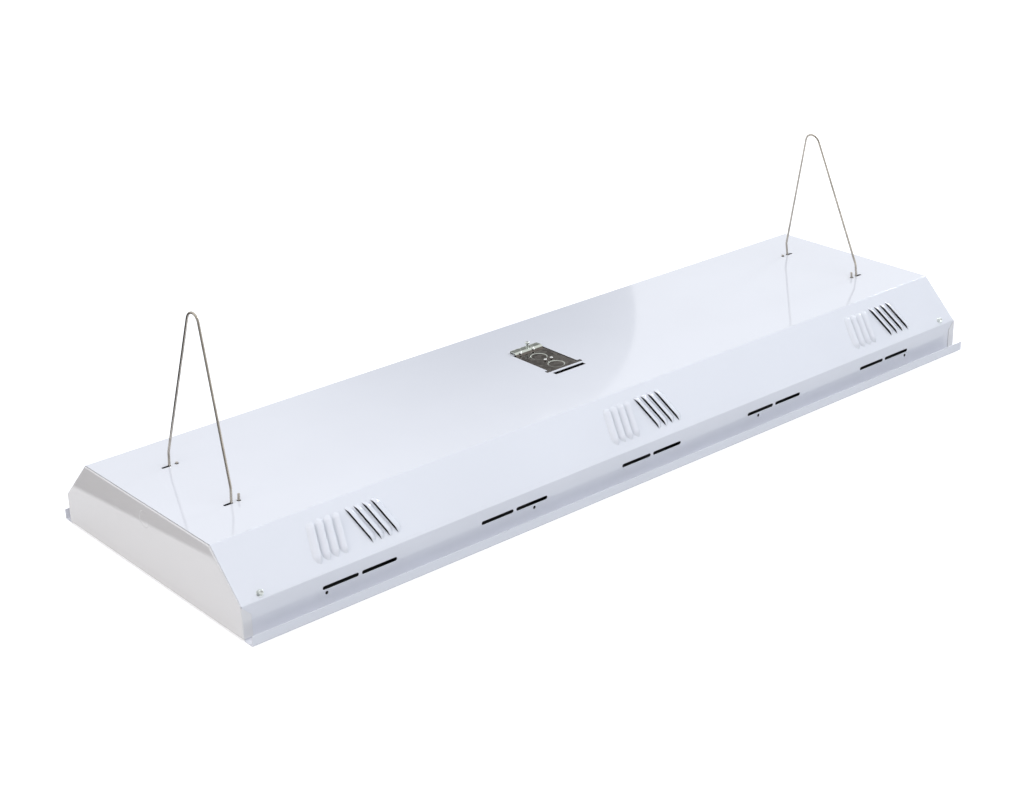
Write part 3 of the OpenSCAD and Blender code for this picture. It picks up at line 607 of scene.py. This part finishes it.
def thread(tree, radius, depth, pitch=0.0011, taper=0.9, ridge=0.35):
    """A coarse sheet-metal thread, as a ridge that winds down from z = 0. taper is the share of the
    radius at its lower end, and ridge that of the pitch that the ridge stands out."""
    spiral = place(tree, "GeometryNodeCurveSpiral", {
        "Resolution": 14, "Rotations": over(tree, depth, pitch), "Start Radius": radius,
        "End Radius": times(tree, radius, taper), "Height": depth}).outputs[0]
    profile = place(tree, "GeometryNodeCurvePrimitiveCircle", {"Resolution": 4, "Radius": pitch * ridge})
    inputs = {"Curve": spiral, "Profile Curve": profile.outputs[0], "Fill Caps": True}
    wound = place(tree, "GeometryNodeCurveToMesh", inputs).outputs[0]
    return moved(tree, wound, times(tree, depth, -1.0))


def hex_washer_screws(name):
    """Indented hexagon washer head screws with a threaded shank."""
    tree, enter, leave = geometry_tree(name, {
        "Hexagon Radius": 0.0037, "Head Height": 0.0032, "Washer Radius": 0.0043, "Washer Height": 0.0008,
        "Shank Radius": 0.0015, "Shank Length": 0.008})
    radius, height = enter["Hexagon Radius"], enter["Head Height"]
    crown_radius = times(tree, radius, 1.75)
    crown_drop = less(tree, height, times(tree, crown_radius, 0.9))
    crown = moved(tree, ball(tree, crown_radius, rings=24), crown_drop)
    dish = moved(tree, ball(tree, radius, rings=24), plus(tree, height, times(tree, radius, 0.72)))
    head = combine(tree, "INTERSECT", cylinder(tree, radius, height, sides=6), crown)
    head = combine(tree, "DIFFERENCE", head, dish)
    washer = place(tree, "GeometryNodeMeshCone", {
        "Vertices": 48, "Radius Top": times(tree, enter["Washer Radius"], 0.84),
        "Radius Bottom": enter["Washer Radius"], "Depth": enter["Washer Height"]}).outputs["Mesh"]
    stem = shank(tree, enter["Shank Radius"], enter["Shank Length"], sides=20)
    whole = place(tree, "GeometryNodeJoinGeometry")
    tree.links.new(combine(tree, "UNION", head, washer, stem), whole.inputs[0])
    tree.links.new(thread(tree, enter["Shank Radius"], enter["Shank Length"]), whole.inputs[0])
    set_on_seats(tree, enter, leave, whole.outputs[0])
    return tree


def pan_head_screws(name):
    """Pan head screws with a cross recess."""
    tree, enter, leave = geometry_tree(name, {
        "Head Radius": 0.0038, "Head Height": 0.0022, "Shank Radius": 0.0018, "Shank Length": 0.006})
    radius, height = enter["Head Radius"], enter["Head Height"]
    crown_radius = times(tree, radius, 1.6)
    crown = moved(tree, ball(tree, crown_radius, rings=32), less(tree, height, crown_radius))
    arm, slit, deep = times(tree, radius, 1.05), times(tree, radius, 0.26), times(tree, height, 1.3)
    arms = []
    for first, second in ((arm, slit), (slit, arm)):
        box = place(tree, "GeometryNodeMeshCube", {"Size": spread(tree, X=first, Y=second, Z=deep)})
        arms.append(moved(tree, box.outputs["Mesh"], height))
    head = combine(tree, "INTERSECT", cylinder(tree, radius, height, sides=48), crown)
    head = combine(tree, "DIFFERENCE", head, *arms)
    stem = shank(tree, enter["Shank Radius"], enter["Shank Length"], sides=24)
    set_on_seats(tree, enter, leave, combine(tree, "UNION", head, stem))
    return tree


def pressed_dimples(name):
    """Low round dimples."""
    tree, enter, leave = geometry_tree(name, {"Radius": 0.0021, "Height": 0.0009})
    flat = spread(tree, X=1.0, Y=1.0, Z=over(tree, enter["Height"], enter["Radius"]))
    part = moved(tree, ball(tree, enter["Radius"], rings=12), scale=flat)
    part = place(tree, "GeometryNodeSetShadeSmooth", {"Geometry": part}).outputs[0]
    set_on_seats(tree, enter, leave, part)
    return tree


def insulator_discs(name):
    """The discs in the lamp caps that the pins pass through, each with a groove round it."""
    tree, enter, leave = geometry_tree(name, {"Radius": 0.0058, "Height": 0.00035})
    radius, height = enter["Radius"], enter["Height"]
    disc = cylinder(tree, radius, height, sides=40)
    groove = cylinder(tree, times(tree, radius, 0.86), height, sides=40)
    core = cylinder(tree, times(tree, radius, 0.78), height, sides=40)
    ring = combine(tree, "DIFFERENCE", moved(tree, groove, times(tree, height, 0.5)), core)
    set_on_seats(tree, enter, leave, combine(tree, "DIFFERENCE", disc, ring))
    return tree


SHARED = {
    "Powder Paint": powder_paint, "Drawn Metal": drawn_metal, "Zinc Crystals": zinc_crystals,
    "Moulded Plastic": moulded_plastic, "Worn Edges": worn_edges, "Hex Washer Screws": hex_washer_screws,
    "Pan Head Screws": pan_head_screws, "Pressed Dimples": pressed_dimples,
    "Insulator Discs": insulator_discs,
}


def shared(name):
    """The node group of that name, built the first time that it is asked for."""
    return bpy.data.node_groups.get(name) or SHARED[name](name)


def hardware(name, kind, seats, sizes, material):
    """One mesh with a part on every (point, axis) in seats. kind names the group that makes the part."""
    mesh = bpy.data.meshes.new(name)
    mesh.from_pydata([tuple(point) for point, _ in seats], [], [])
    axes = mesh.attributes.new("axis", "FLOAT_VECTOR", "POINT")
    for held, (_, axis) in zip(axes.data, seats):
        held.vector = axis
    piece = put(name, mesh)
    modifier = piece.modifiers.new("Hardware", "NODES")
    modifier.node_group = shared(kind)
    values = {"Material": material, **sizes}
    for item in modifier.node_group.interface.items_tree:
        if item.in_out == "INPUT" and item.name in values:
            modifier[item.identifier] = values[item.name]
    piece.update_tag()
    bpy.context.view_layer.update()
    graph = bpy.context.evaluated_depsgraph_get()
    made = bpy.data.meshes.new_from_object(piece.evaluated_get(graph), depsgraph=graph)
    piece.modifiers.remove(modifier)
    piece.data = made
    made.name = name
    if not made.polygons:
        raise RuntimeError(f"{name} came out empty")
    return piece


def clusters(node):
    """The vertices of a CAD node in groups, one for each of its screws."""
    groups = []
    for vertex in nodes[node].data.vertices:
        for group in groups:
            if (vertex.co - group[0]).length < SCREW_SPAN:
                group.append(vertex.co.copy())
                break
        else:
            groups.append([vertex.co.copy()])
    return groups


def seats_of(node, axis_of, head):
    """Where each screw of a CAD node seats: head below its top, on its own axis."""
    seats = []
    for group in clusters(node):
        centre = (Vector(map(min, *group)) + Vector(map(max, *group))) / 2
        axis = axis_of(centre).normalized()
        offsets = [point - centre for point in group]
        heights = [offset.dot(axis) for offset in offsets]
        strays = [offset - axis * height for offset, height in zip(offsets, heights)]
        across = sum(strays, Vector()) / len(group)
        seats.append((centre + across + axis * (max(heights) - head), axis))
    return seats


# Operators, one for each group of pieces


class SHOPLIGHT_OT_housing(bpy.types.Operator):
    """Paint the hood, the end caps and the brackets inside"""
    bl_idname = "shoplight.housing"
    bl_label = "Housing"

    def execute(self, context):
        paint = settings().paint
        hood = gloss_paint("hood_paint", paint.hood)
        # Painted shade on the inner side of the hood
        self.line(hood, paint)
        dress(hood, "hood")
        dress(gloss_paint("cap_paint", paint.cap), "end_cap_left", "end_cap_right")
        inner = gloss_paint("inner_paint", paint.inside, dust=0.3)
        dress(inner, "ballast_channel", "socket_bar_left", "socket_bar_right")
        return {"FINISHED"}

    def line(self, material, paint):
        """Paints the inner side of the hood, above the reflectors, near black as painted shade. That is what
        lies deeper than the skin under the folded outline."""
        spots = [vertex.co for vertex in nodes["hood"].data.vertices]
        top = max(co.z for co in spots)
        flat = max(abs(co.y) for co in spots if co.z > top * 0.999)
        wall = max(abs(co.y) for co in spots if top * 0.2 < co.z < top * 0.4)
        shoulder = max(co.z for co in spots if abs(co.y) > wall * 0.9999 and co.z > top * 0.2)
        run, fall = wall - flat, top - shoulder
        tree = material.node_tree
        _, y, z = split(tree, object_coords(tree))
        out = calc(tree, "ABSOLUTE", y)
        under_top = less(tree, top, z)
        in_wall = less(tree, wall, out)
        risen = plus(tree, times(tree, out, fall), times(tree, z, run))
        under_slope = over(tree, less(tree, flat * fall + top * run, risen), math.hypot(run, fall))
        depth = calc(tree, "MINIMUM", calc(tree, "MINIMUM", under_top, in_wall), under_slope)
        low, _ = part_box("reflector_near")
        deep = remap(tree, depth, paint.skin * 0.98, paint.skin * 1.02)
        repaint(material, times(tree, deep, remap(tree, z, low.z, low.z + INSIDE_SHADE_EDGE)), paint.inside_shade)


class SHOPLIGHT_OT_hangers(bpy.types.Operator):
    """Give the two wire hangers their zinc-plated finish"""
    bl_idname = "shoplight.hangers"
    bl_label = "Hangers"

    def execute(self, context):
        wire = metal("zinc_wire", settings().metal.wire, 0.5, roughness=0.24, tarnish=0.5,
                     stretch=(1.0, 1.0, 0.06), relief=0.000008, edges=1.3)
        dress(wire, "hanger_left", "hanger_right")
        return {"FINISHED"}


class SHOPLIGHT_OT_cover(bpy.types.Operator):
    """Finish the access cover and press its dimples"""
    bl_idname = "shoplight.cover"
    bl_label = "Access Cover"

    def execute(self, context):
        metals, sizes = settings().metal, settings().hardware
        _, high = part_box("hood")
        level = high.z + sizes.cover_sheet
        sheet = surface("galvanised_sheet", "Zinc Crystals", metals.cover, {
            "Light Color": rgba(metals.cover_light), "Roughness": 0.13, "Crystal Size": metals.crystal},
            METALLIC, relief=0.000004, bare=BARE_ZINC, edge_width=0.0005, edge_wear=0.8)
        # Painted highlights on the raised end and the knockout rims
        self.paint_highlights(sheet, metals, sizes, level)
        dress(sheet, "access_cover")
        panel, ramp = Vector((0, 0, 1)), Vector((0, -1, 1)).normalized()
        seats = [(Vector((x, y, level)), panel) for x, y in PANEL_DIMPLES]
        seats += [(Vector((x, sizes.ramp_y, level + sizes.ramp_rise)), ramp) for x in RAMP_DIMPLES]
        # Near white, as painted highlights
        bright = metal("dimple_highlight_metal", metals.dimple_highlight, 0.8, roughness=0.36, tarnish=0.1)
        dimples = hardware("cover_dimples", "Pressed Dimples", seats, {
            "Radius": sizes.dimple_radius, "Height": sizes.dimple_height}, bright)
        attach(dimples, "housing")
        return {"FINISHED"}

    def paint_highlights(self, material, metals, sizes, level):
        """Paints a highlight on what stands out: the cover's raised end, and the knockout rims in patches.
        """
        tree = material.node_tree
        coords = object_coords(tree)
        x, y, z = split(tree, coords)
        mask = remap(tree, z, level + HIGHLIGHT_FROM, level + HIGHLIGHT_TO)
        patches = remap(tree, noise(tree, coords, HIGHLIGHT_PATCHES, 2.0), 0.35, 0.6, 0.3, 1.0)
        for middle in (sizes.knockout_near, sizes.knockout_far):
            reach = vectors(tree, "LENGTH", spread(tree, X=x, Y=less(tree, y, middle)))["Value"]
            away = calc(tree, "ABSOLUTE", less(tree, reach, sizes.knockout_radius))
            rim = times(tree, remap(tree, away, RIM_REACH, RIM_CORE), patches)
            mask = calc(tree, "MAXIMUM", mask, rim)
        repaint(material, mask, metals.cover_highlight)


class SHOPLIGHT_OT_screws(bpy.types.Operator):
    """Replace the plain screws by ones with real heads, threaded on the slopes"""
    bl_idname = "shoplight.screws"
    bl_label = "Screws"

    def execute(self, context):
        sizes = settings().hardware
        zinc = metal("zinc_screws", settings().metal.screw, 0.6, roughness=0.24, tarnish=0.35)
        seats = seats_of("slope_screws", lambda at: Vector((0, math.copysign(1, at.y), 1)), sizes.hex_height)
        piece = hardware("hex_slope_screws", "Hex Washer Screws", seats, {
            "Hexagon Radius": sizes.hex_radius, "Head Height": sizes.hex_height,
            "Washer Radius": sizes.flange_radius, "Washer Height": sizes.flange_height,
            "Shank Radius": sizes.shank_radius, "Shank Length": sizes.shank_length}, zinc)
        self.keep(piece, "slope_screws")
        for node, screw in PAN_SCREWS.items():
            seats = seats_of(node, lambda at, way=screw.way: Vector((0, 0, way)), screw.height)
            piece = hardware("pan_" + node, "Pan Head Screws", seats, {
                "Head Radius": screw.radius, "Head Height": screw.height,
                "Shank Radius": sizes.pan_shank, "Shank Length": screw.shank}, zinc)
            self.keep(piece, node)
        return {"FINISHED"}

    def keep(self, piece, node):
        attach(piece, "housing")
        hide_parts(node)


class SHOPLIGHT_OT_ballasts(bpy.types.Operator):
    """Enamel the ballast cans"""
    bl_idname = "shoplight.ballasts"
    bl_label = "Ballasts"

    def execute(self, context):
        enamel = surface("ballast_enamel", "Powder Paint", settings().paint.ballast, {
            "Roughness": 0.38, "Peel Size": 0.0011, "Dust": 0.6}, PLAIN, relief=0.000012, bare=THIN_ENAMEL)
        dress(enamel, "four_lamp_ballast", "two_lamp_ballast")
        return {"FINISHED"}


class SHOPLIGHT_OT_lamps(bpy.types.Operator):
    """Finish the lamps, their caps and the lampholders"""
    bl_idname = "shoplight.lamps"
    bl_label = "Lamps"

    def execute(self, context):
        lamp = settings().lamp
        caps = metal("lamp_metal", settings().metal.lamp, 0.6, roughness=0.28, tarnish=0.25,
                     stretch=(0.08, 1.0, 1.0))
        plastic = surface("holder_plastic", "Moulded Plastic", lamp.holder, {"Roughness": 0.34}, PLAIN,
                          relief=0.000008, bare=THIN_PLASTIC, edge_width=0.0005, edge_wear=0.35)
        board = surface("insulator_board", "Moulded Plastic", lamp.insulator, {
            "Roughness": 0.55, "Yellowing": 0.3}, PLAIN, relief=0.00001)
        glass = self.opal_glass(lamp)
        dress(plastic, "lampholders_left", "lampholders_right")
        for body in LAMPS:
            number = body.rsplit("_", 1)[1]
            dress(glass, "lamp_tube_" + number)
            dress(caps, "lamp_caps_" + number)
            dress(plastic, "lamp_rotors_" + number)
            low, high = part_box("lamp_tube_" + number)
            middle = (low + high) / 2
            reach = self.face("lamp_caps_" + number, high.x)
            seats = [(Vector((way * reach, middle.y, middle.z)), Vector((way, 0, 0))) for way in (-1, 1)]
            piece = hardware("lamp_insulators_" + number, "Insulator Discs", seats, {
                "Radius": lamp.insulator_radius, "Height": lamp.insulator_height}, board)
            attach(piece, body)
        return {"FINISHED"}

    def face(self, node, tube_end):
        """How far out the flat face of a lamp's cap lies, short of its pins."""
        low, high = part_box(node)
        radius = (high.z - low.z) / 2
        middle = (low + high) / 2
        outer = [v.co.x for v in nodes[node].data.vertices
                 if math.hypot(v.co.y - middle.y, v.co.z - middle.z) > radius * 0.95]
        return max(outer + [tube_end])

    def opal_glass(self, lamp):
        """Clear glass over a white coating, which is greyer at the two ends."""
        shader = {**PLAIN, "Coat Weight": 1.0, "Coat Roughness": 0.03}
        material, tree, principled = new_material("lamp_glass", shader)
        coords = object_coords(tree)
        along = calc(tree, "ABSOLUTE", split(tree, coords)[0])
        powder = noise(tree, coords, LAMP_POWDER, 3.0, 0.6)
        cloud = noise(tree, coords, LAMP_CLOUDS, 3.0)
        near_end = remap(tree, plus(tree, along, times(tree, cloud, 0.008)), lamp.grey_from, lamp.grey_to)
        specks = remap(tree, powder, 0.5, 0.8, 0.0, 0.08)
        grey = plus(tree, calc(tree, "POWER", near_end, 2.0), specks, clamp=True)
        coating = blend_colours(tree, grey, rgba(lamp.glass), rgba(lamp.glass_end))
        feed(tree, principled, coating, remap(tree, cloud, 0.3, 0.7, 0.3, 0.42), 0.000003, powder)
        return material


class SHOPLIGHT_OT_reflectors(bpy.types.Operator):
    """Finish the two bright reflectors"""
    bl_idname = "shoplight.reflectors"
    bl_label = "Reflectors"

    def execute(self, context):
        metals = settings().metal
        bright = metal("reflector_metal", metals.reflector, 0.75, roughness=0.14, tarnish=0.12,
                       stretch=(0.02, 1.0, 1.0), relief=0.000003, edges=0.8)
        self.shade_back(bright, metals)
        dress(bright, "reflector_near", "reflector_far")
        return {"FINISHED"}

    def shade_back(self, material, metals):
        """Paints the faces that look up, at the back of the reflectors, dark as painted shade, and makes
        them duller.
        """
        tree = material.node_tree
        normal = place(tree, "ShaderNodeNewGeometry").outputs["True Normal"]
        upward = remap(tree, split(tree, normal)[2], 0.0, 0.02)
        repaint(material, upward, metals.reflector_back_shade)
        rough = tree.nodes["Principled BSDF"].inputs["Roughness"]
        duller = plus(tree, rough.links[0].from_socket, times(tree, upward, 0.4), clamp=True)
        tree.links.new(duller, rough)


class SHOPLIGHT_OT_studio(bpy.types.Operator):
    """Set the floor, the soft lights and the camera"""
    bl_idname = "shoplight.studio"
    bl_label = "Studio"

    def execute(self, context):
        studio = settings().studio
        self.floor(studio)
        self.world(studio)
        self.light("key_light", studio.key, studio.key_place, studio.key_size, studio.key_tint)
        self.light("rim_light", studio.rim, studio.rim_place, studio.rim_size, studio.key_tint, True)
        self.light("end_light", studio.end, studio.end_place, studio.end_size, studio.end_tint)
        self.camera(studio)
        context.scene.view_settings.view_transform = "Standard"
        return {"FINISHED"}

    def floor(self, studio):
        """A wide pale floor, which lies a hair under the light."""
        corners = [(x * FLOOR_HALF, y * FLOOR_HALF, -FLOOR_GAP)
                   for x, y in ((-1, -1), (1, -1), (1, 1), (-1, 1))]
        mesh = bpy.data.meshes.new("floor")
        mesh.from_pydata(corners, [], [(0, 1, 2, 3)])
        floor = put("floor", mesh)
        mesh.materials.append(self.paper(studio))

    def paper(self, studio):
        """Pale paper that shows white to the camera, keeps the shadow and hides nothing from below. In
        reflections it ends in the dark, where the table ends."""
        material, tree, principled = new_material("floor_paper", {})
        tree.nodes.remove(principled)
        coords = object_coords(tree)
        fibre = remap(tree, noise(tree, coords, PAPER_FIBRE, 3.0), 0.3, 0.7, 0.98, 1.0)
        tone = scaled(tree, tuple(studio.floor), fibre)
        matt = place(tree, "ShaderNodeBsdfDiffuse", {"Color": tone}).outputs[0]
        bright = remap(tree, vectors(tree, "LENGTH", coords)["Value"], GLOW_NEAR, GLOW_FAR, 0.6, 1.0)
        glow = place(tree, "ShaderNodeEmission", {"Color": WHITE, "Strength": bright}).outputs[0]
        lit = place(tree, "ShaderNodeAddShader", {0: matt, 1: glow}).outputs[0]
        rays = place(tree, "ShaderNodeLightPath").outputs
        x, y, _ = split(tree, coords)
        end = plus(tree, times(tree, y, studio.table_slant), studio.table_end)
        beyond = remap(tree, less(tree, x, end), TABLE_BLUR, -TABLE_BLUR)
        dark = place(tree, "ShaderNodeEmission", {"Color": WHITE, "Strength": 0.02}).outputs[0]
        gone = times(tree, beyond, rays["Is Glossy Ray"])
        lit = place(tree, "ShaderNodeMixShader", {0: gone, 1: lit, 2: dark}).outputs[0]
        mirrored = plus(tree, rays["Is Camera Ray"], rays["Is Glossy Ray"])
        seen = plus(tree, mirrored, rays["Is Transmission Ray"], clamp=True)
        shown = place(tree, "ShaderNodeMixShader", {0: seen, 1: matt, 2: lit}).outputs[0]
        clear = place(tree, "ShaderNodeBsdfTransparent").outputs[0]
        below = place(tree, "ShaderNodeNewGeometry").outputs["Backfacing"]
        both = place(tree, "ShaderNodeMixShader", {0: below, 1: shown, 2: clear}).outputs[0]
        tree.links.new(both, tree.nodes["Material Output"].inputs["Surface"])
        return material

    def world(self, studio):
        """A pale room, cool in front and warm at the left. It shows white to the camera, and white with a
        dim far end in reflections."""
        world = bpy.data.worlds.new("white_room")
        bpy.context.scene.world = world
        world.use_nodes = True
        tree = world.node_tree
        way = place(tree, "ShaderNodeTexCoord").outputs["Generated"]
        x, y, z = split(tree, way)
        room = blend_colours(
            tree, remap(tree, y, -0.6, 0.6), rgba(studio.room_front), rgba(studio.room_far))
        room = blend_colours(tree, remap(tree, x, -0.2, -0.8), room, rgba(studio.room_left))
        dome = blend_colours(tree, remap(tree, z, 0.3, 0.95), room, rgba(studio.room_top))
        rays = place(tree, "ShaderNodeLightPath").outputs
        behind = vectors(tree, "DOT_PRODUCT", way, BEHIND_CAMERA)["Value"]
        shown = times(tree, self.far_end(tree, x, y, z), remap(tree, behind, 0.4, 0.9, 1.0, 0.45))
        mirrored = blend_colours(tree, shown, BLACK, WHITE)
        lit = blend_colours(tree, rays["Is Glossy Ray"], dome, mirrored)
        seen = plus(tree, rays["Is Camera Ray"], rays["Is Transmission Ray"], clamp=True)
        tree.links.new(blend_colours(tree, seen, lit, WHITE), tree.nodes["Background"].inputs["Color"])

    def far_end(self, tree, x, y, z):
        """How bright the mirrored room is by direction: dim at its far end, with the rim of a round white
        screen to the right of that."""
        ways = calc(tree, "ARCTAN2", x, y), calc(tree, "ARCSINE", z)
        squares = []
        for way, middle, width in zip(ways, DIM_AT, DIM_WIDTH):
            off = less(tree, way, math.radians(middle))
            squares.append(calc(tree, "POWER", over(tree, off, math.radians(width)), 2.0))
        dim = calc(tree, "EXPONENT", times(tree, plus(tree, *squares), -1.0))
        offs = [less(tree, way, math.radians(middle)) for way, middle in zip(ways, SCREEN_AT)]
        reach = calc(tree, "SQRT", plus(tree, *(times(tree, off, off) for off in offs)))
        rim = remap(tree, reach, *map(math.radians, SCREEN_RIM))
        right = remap(tree, ways[0], math.radians(SCREEN_FROM), math.radians(SCREEN_TO))
        return calc(tree, "MAXIMUM", less(tree, 1.0, dim), times(tree, rim, right))

    def light(self, name, watts, at, size, tint, mirrored=False):
        """A soft rectangular light that looks at the middle of the shop light, mirrored by gloss or not."""
        data = bpy.data.lights.new(name, "AREA")
        data.shape, data.energy, data.color = "RECTANGLE", watts, tint
        data.size, data.size_y = size
        light = put(name, data)
        light.location = at
        light.rotation_euler = (Vector(LIGHTS_LOOK_AT) - Vector(at)).to_track_quat("-Z", "Y").to_euler()
        light.visible_glossy = mirrored

    def camera(self, studio):
        """The camera at the viewing angle, set by its direction, roll, distance and offsets."""
        turn = Matrix.Rotation(studio.azimuth, 3, "Z")
        turn = turn @ Matrix.Rotation(math.pi / 2 - studio.elevation, 3, "X")
        turn = turn @ Matrix.Rotation(studio.roll, 3, "Z")
        data = bpy.data.cameras.new("camera")
        data.sensor_fit, data.sensor_width, data.lens = "HORIZONTAL", SENSOR_WIDTH, studio.lens
        data.clip_start, data.clip_end = NEAR_CLIP, FAR_CLIP
        camera = put("camera", data)
        at = turn @ Vector((studio.right, studio.up, studio.distance))
        camera.matrix_world = Matrix.Translation(at) @ turn.to_4x4()
        bpy.context.scene.camera = camera


class SHOPLIGHT_PT_panel(bpy.types.Panel):
    """Sizes, colours and steps of the shop light"""
    bl_idname = "SHOPLIGHT_PT_panel"
    bl_label = "Shop Light"
    bl_space_type = "VIEW_3D"
    bl_region_type = "UI"
    bl_category = "Shop Light"

    def draw(self, context):
        for group in ("paint", "metal", "lamp", "hardware", "studio"):
            box = self.layout.box()
            held = getattr(context.scene.shop_light, group)
            for name in held.__annotations__:
                box.prop(held, name)
        for step in STEPS:
            self.layout.operator(step.bl_idname)


STEPS = (SHOPLIGHT_OT_studio, SHOPLIGHT_OT_housing, SHOPLIGHT_OT_hangers, SHOPLIGHT_OT_cover,
         SHOPLIGHT_OT_screws, SHOPLIGHT_OT_ballasts, SHOPLIGHT_OT_lamps, SHOPLIGHT_OT_reflectors)
CLASSES = (PaintSettings, MetalSettings, LampSettings, HardwareSettings, StudioSettings, ShopLightSettings,
           *STEPS, SHOPLIGHT_PT_panel)


def register():
    for held in CLASSES:
        bpy.utils.register_class(held)
    bpy.types.Scene.shop_light = PointerProperty(type=ShopLightSettings)


def unregister():
    del bpy.types.Scene.shop_light
    for held in reversed(CLASSES):
        bpy.utils.unregister_class(held)


def main():
    register()
    bpy.ops.shoplight.studio()
    bpy.ops.shoplight.housing()
    bpy.ops.shoplight.hangers()
    bpy.ops.shoplight.cover()
    bpy.ops.shoplight.screws()
    bpy.ops.shoplight.ballasts()
    bpy.ops.shoplight.lamps()
    bpy.ops.shoplight.reflectors()


if __name__ == "__main__":
    main()
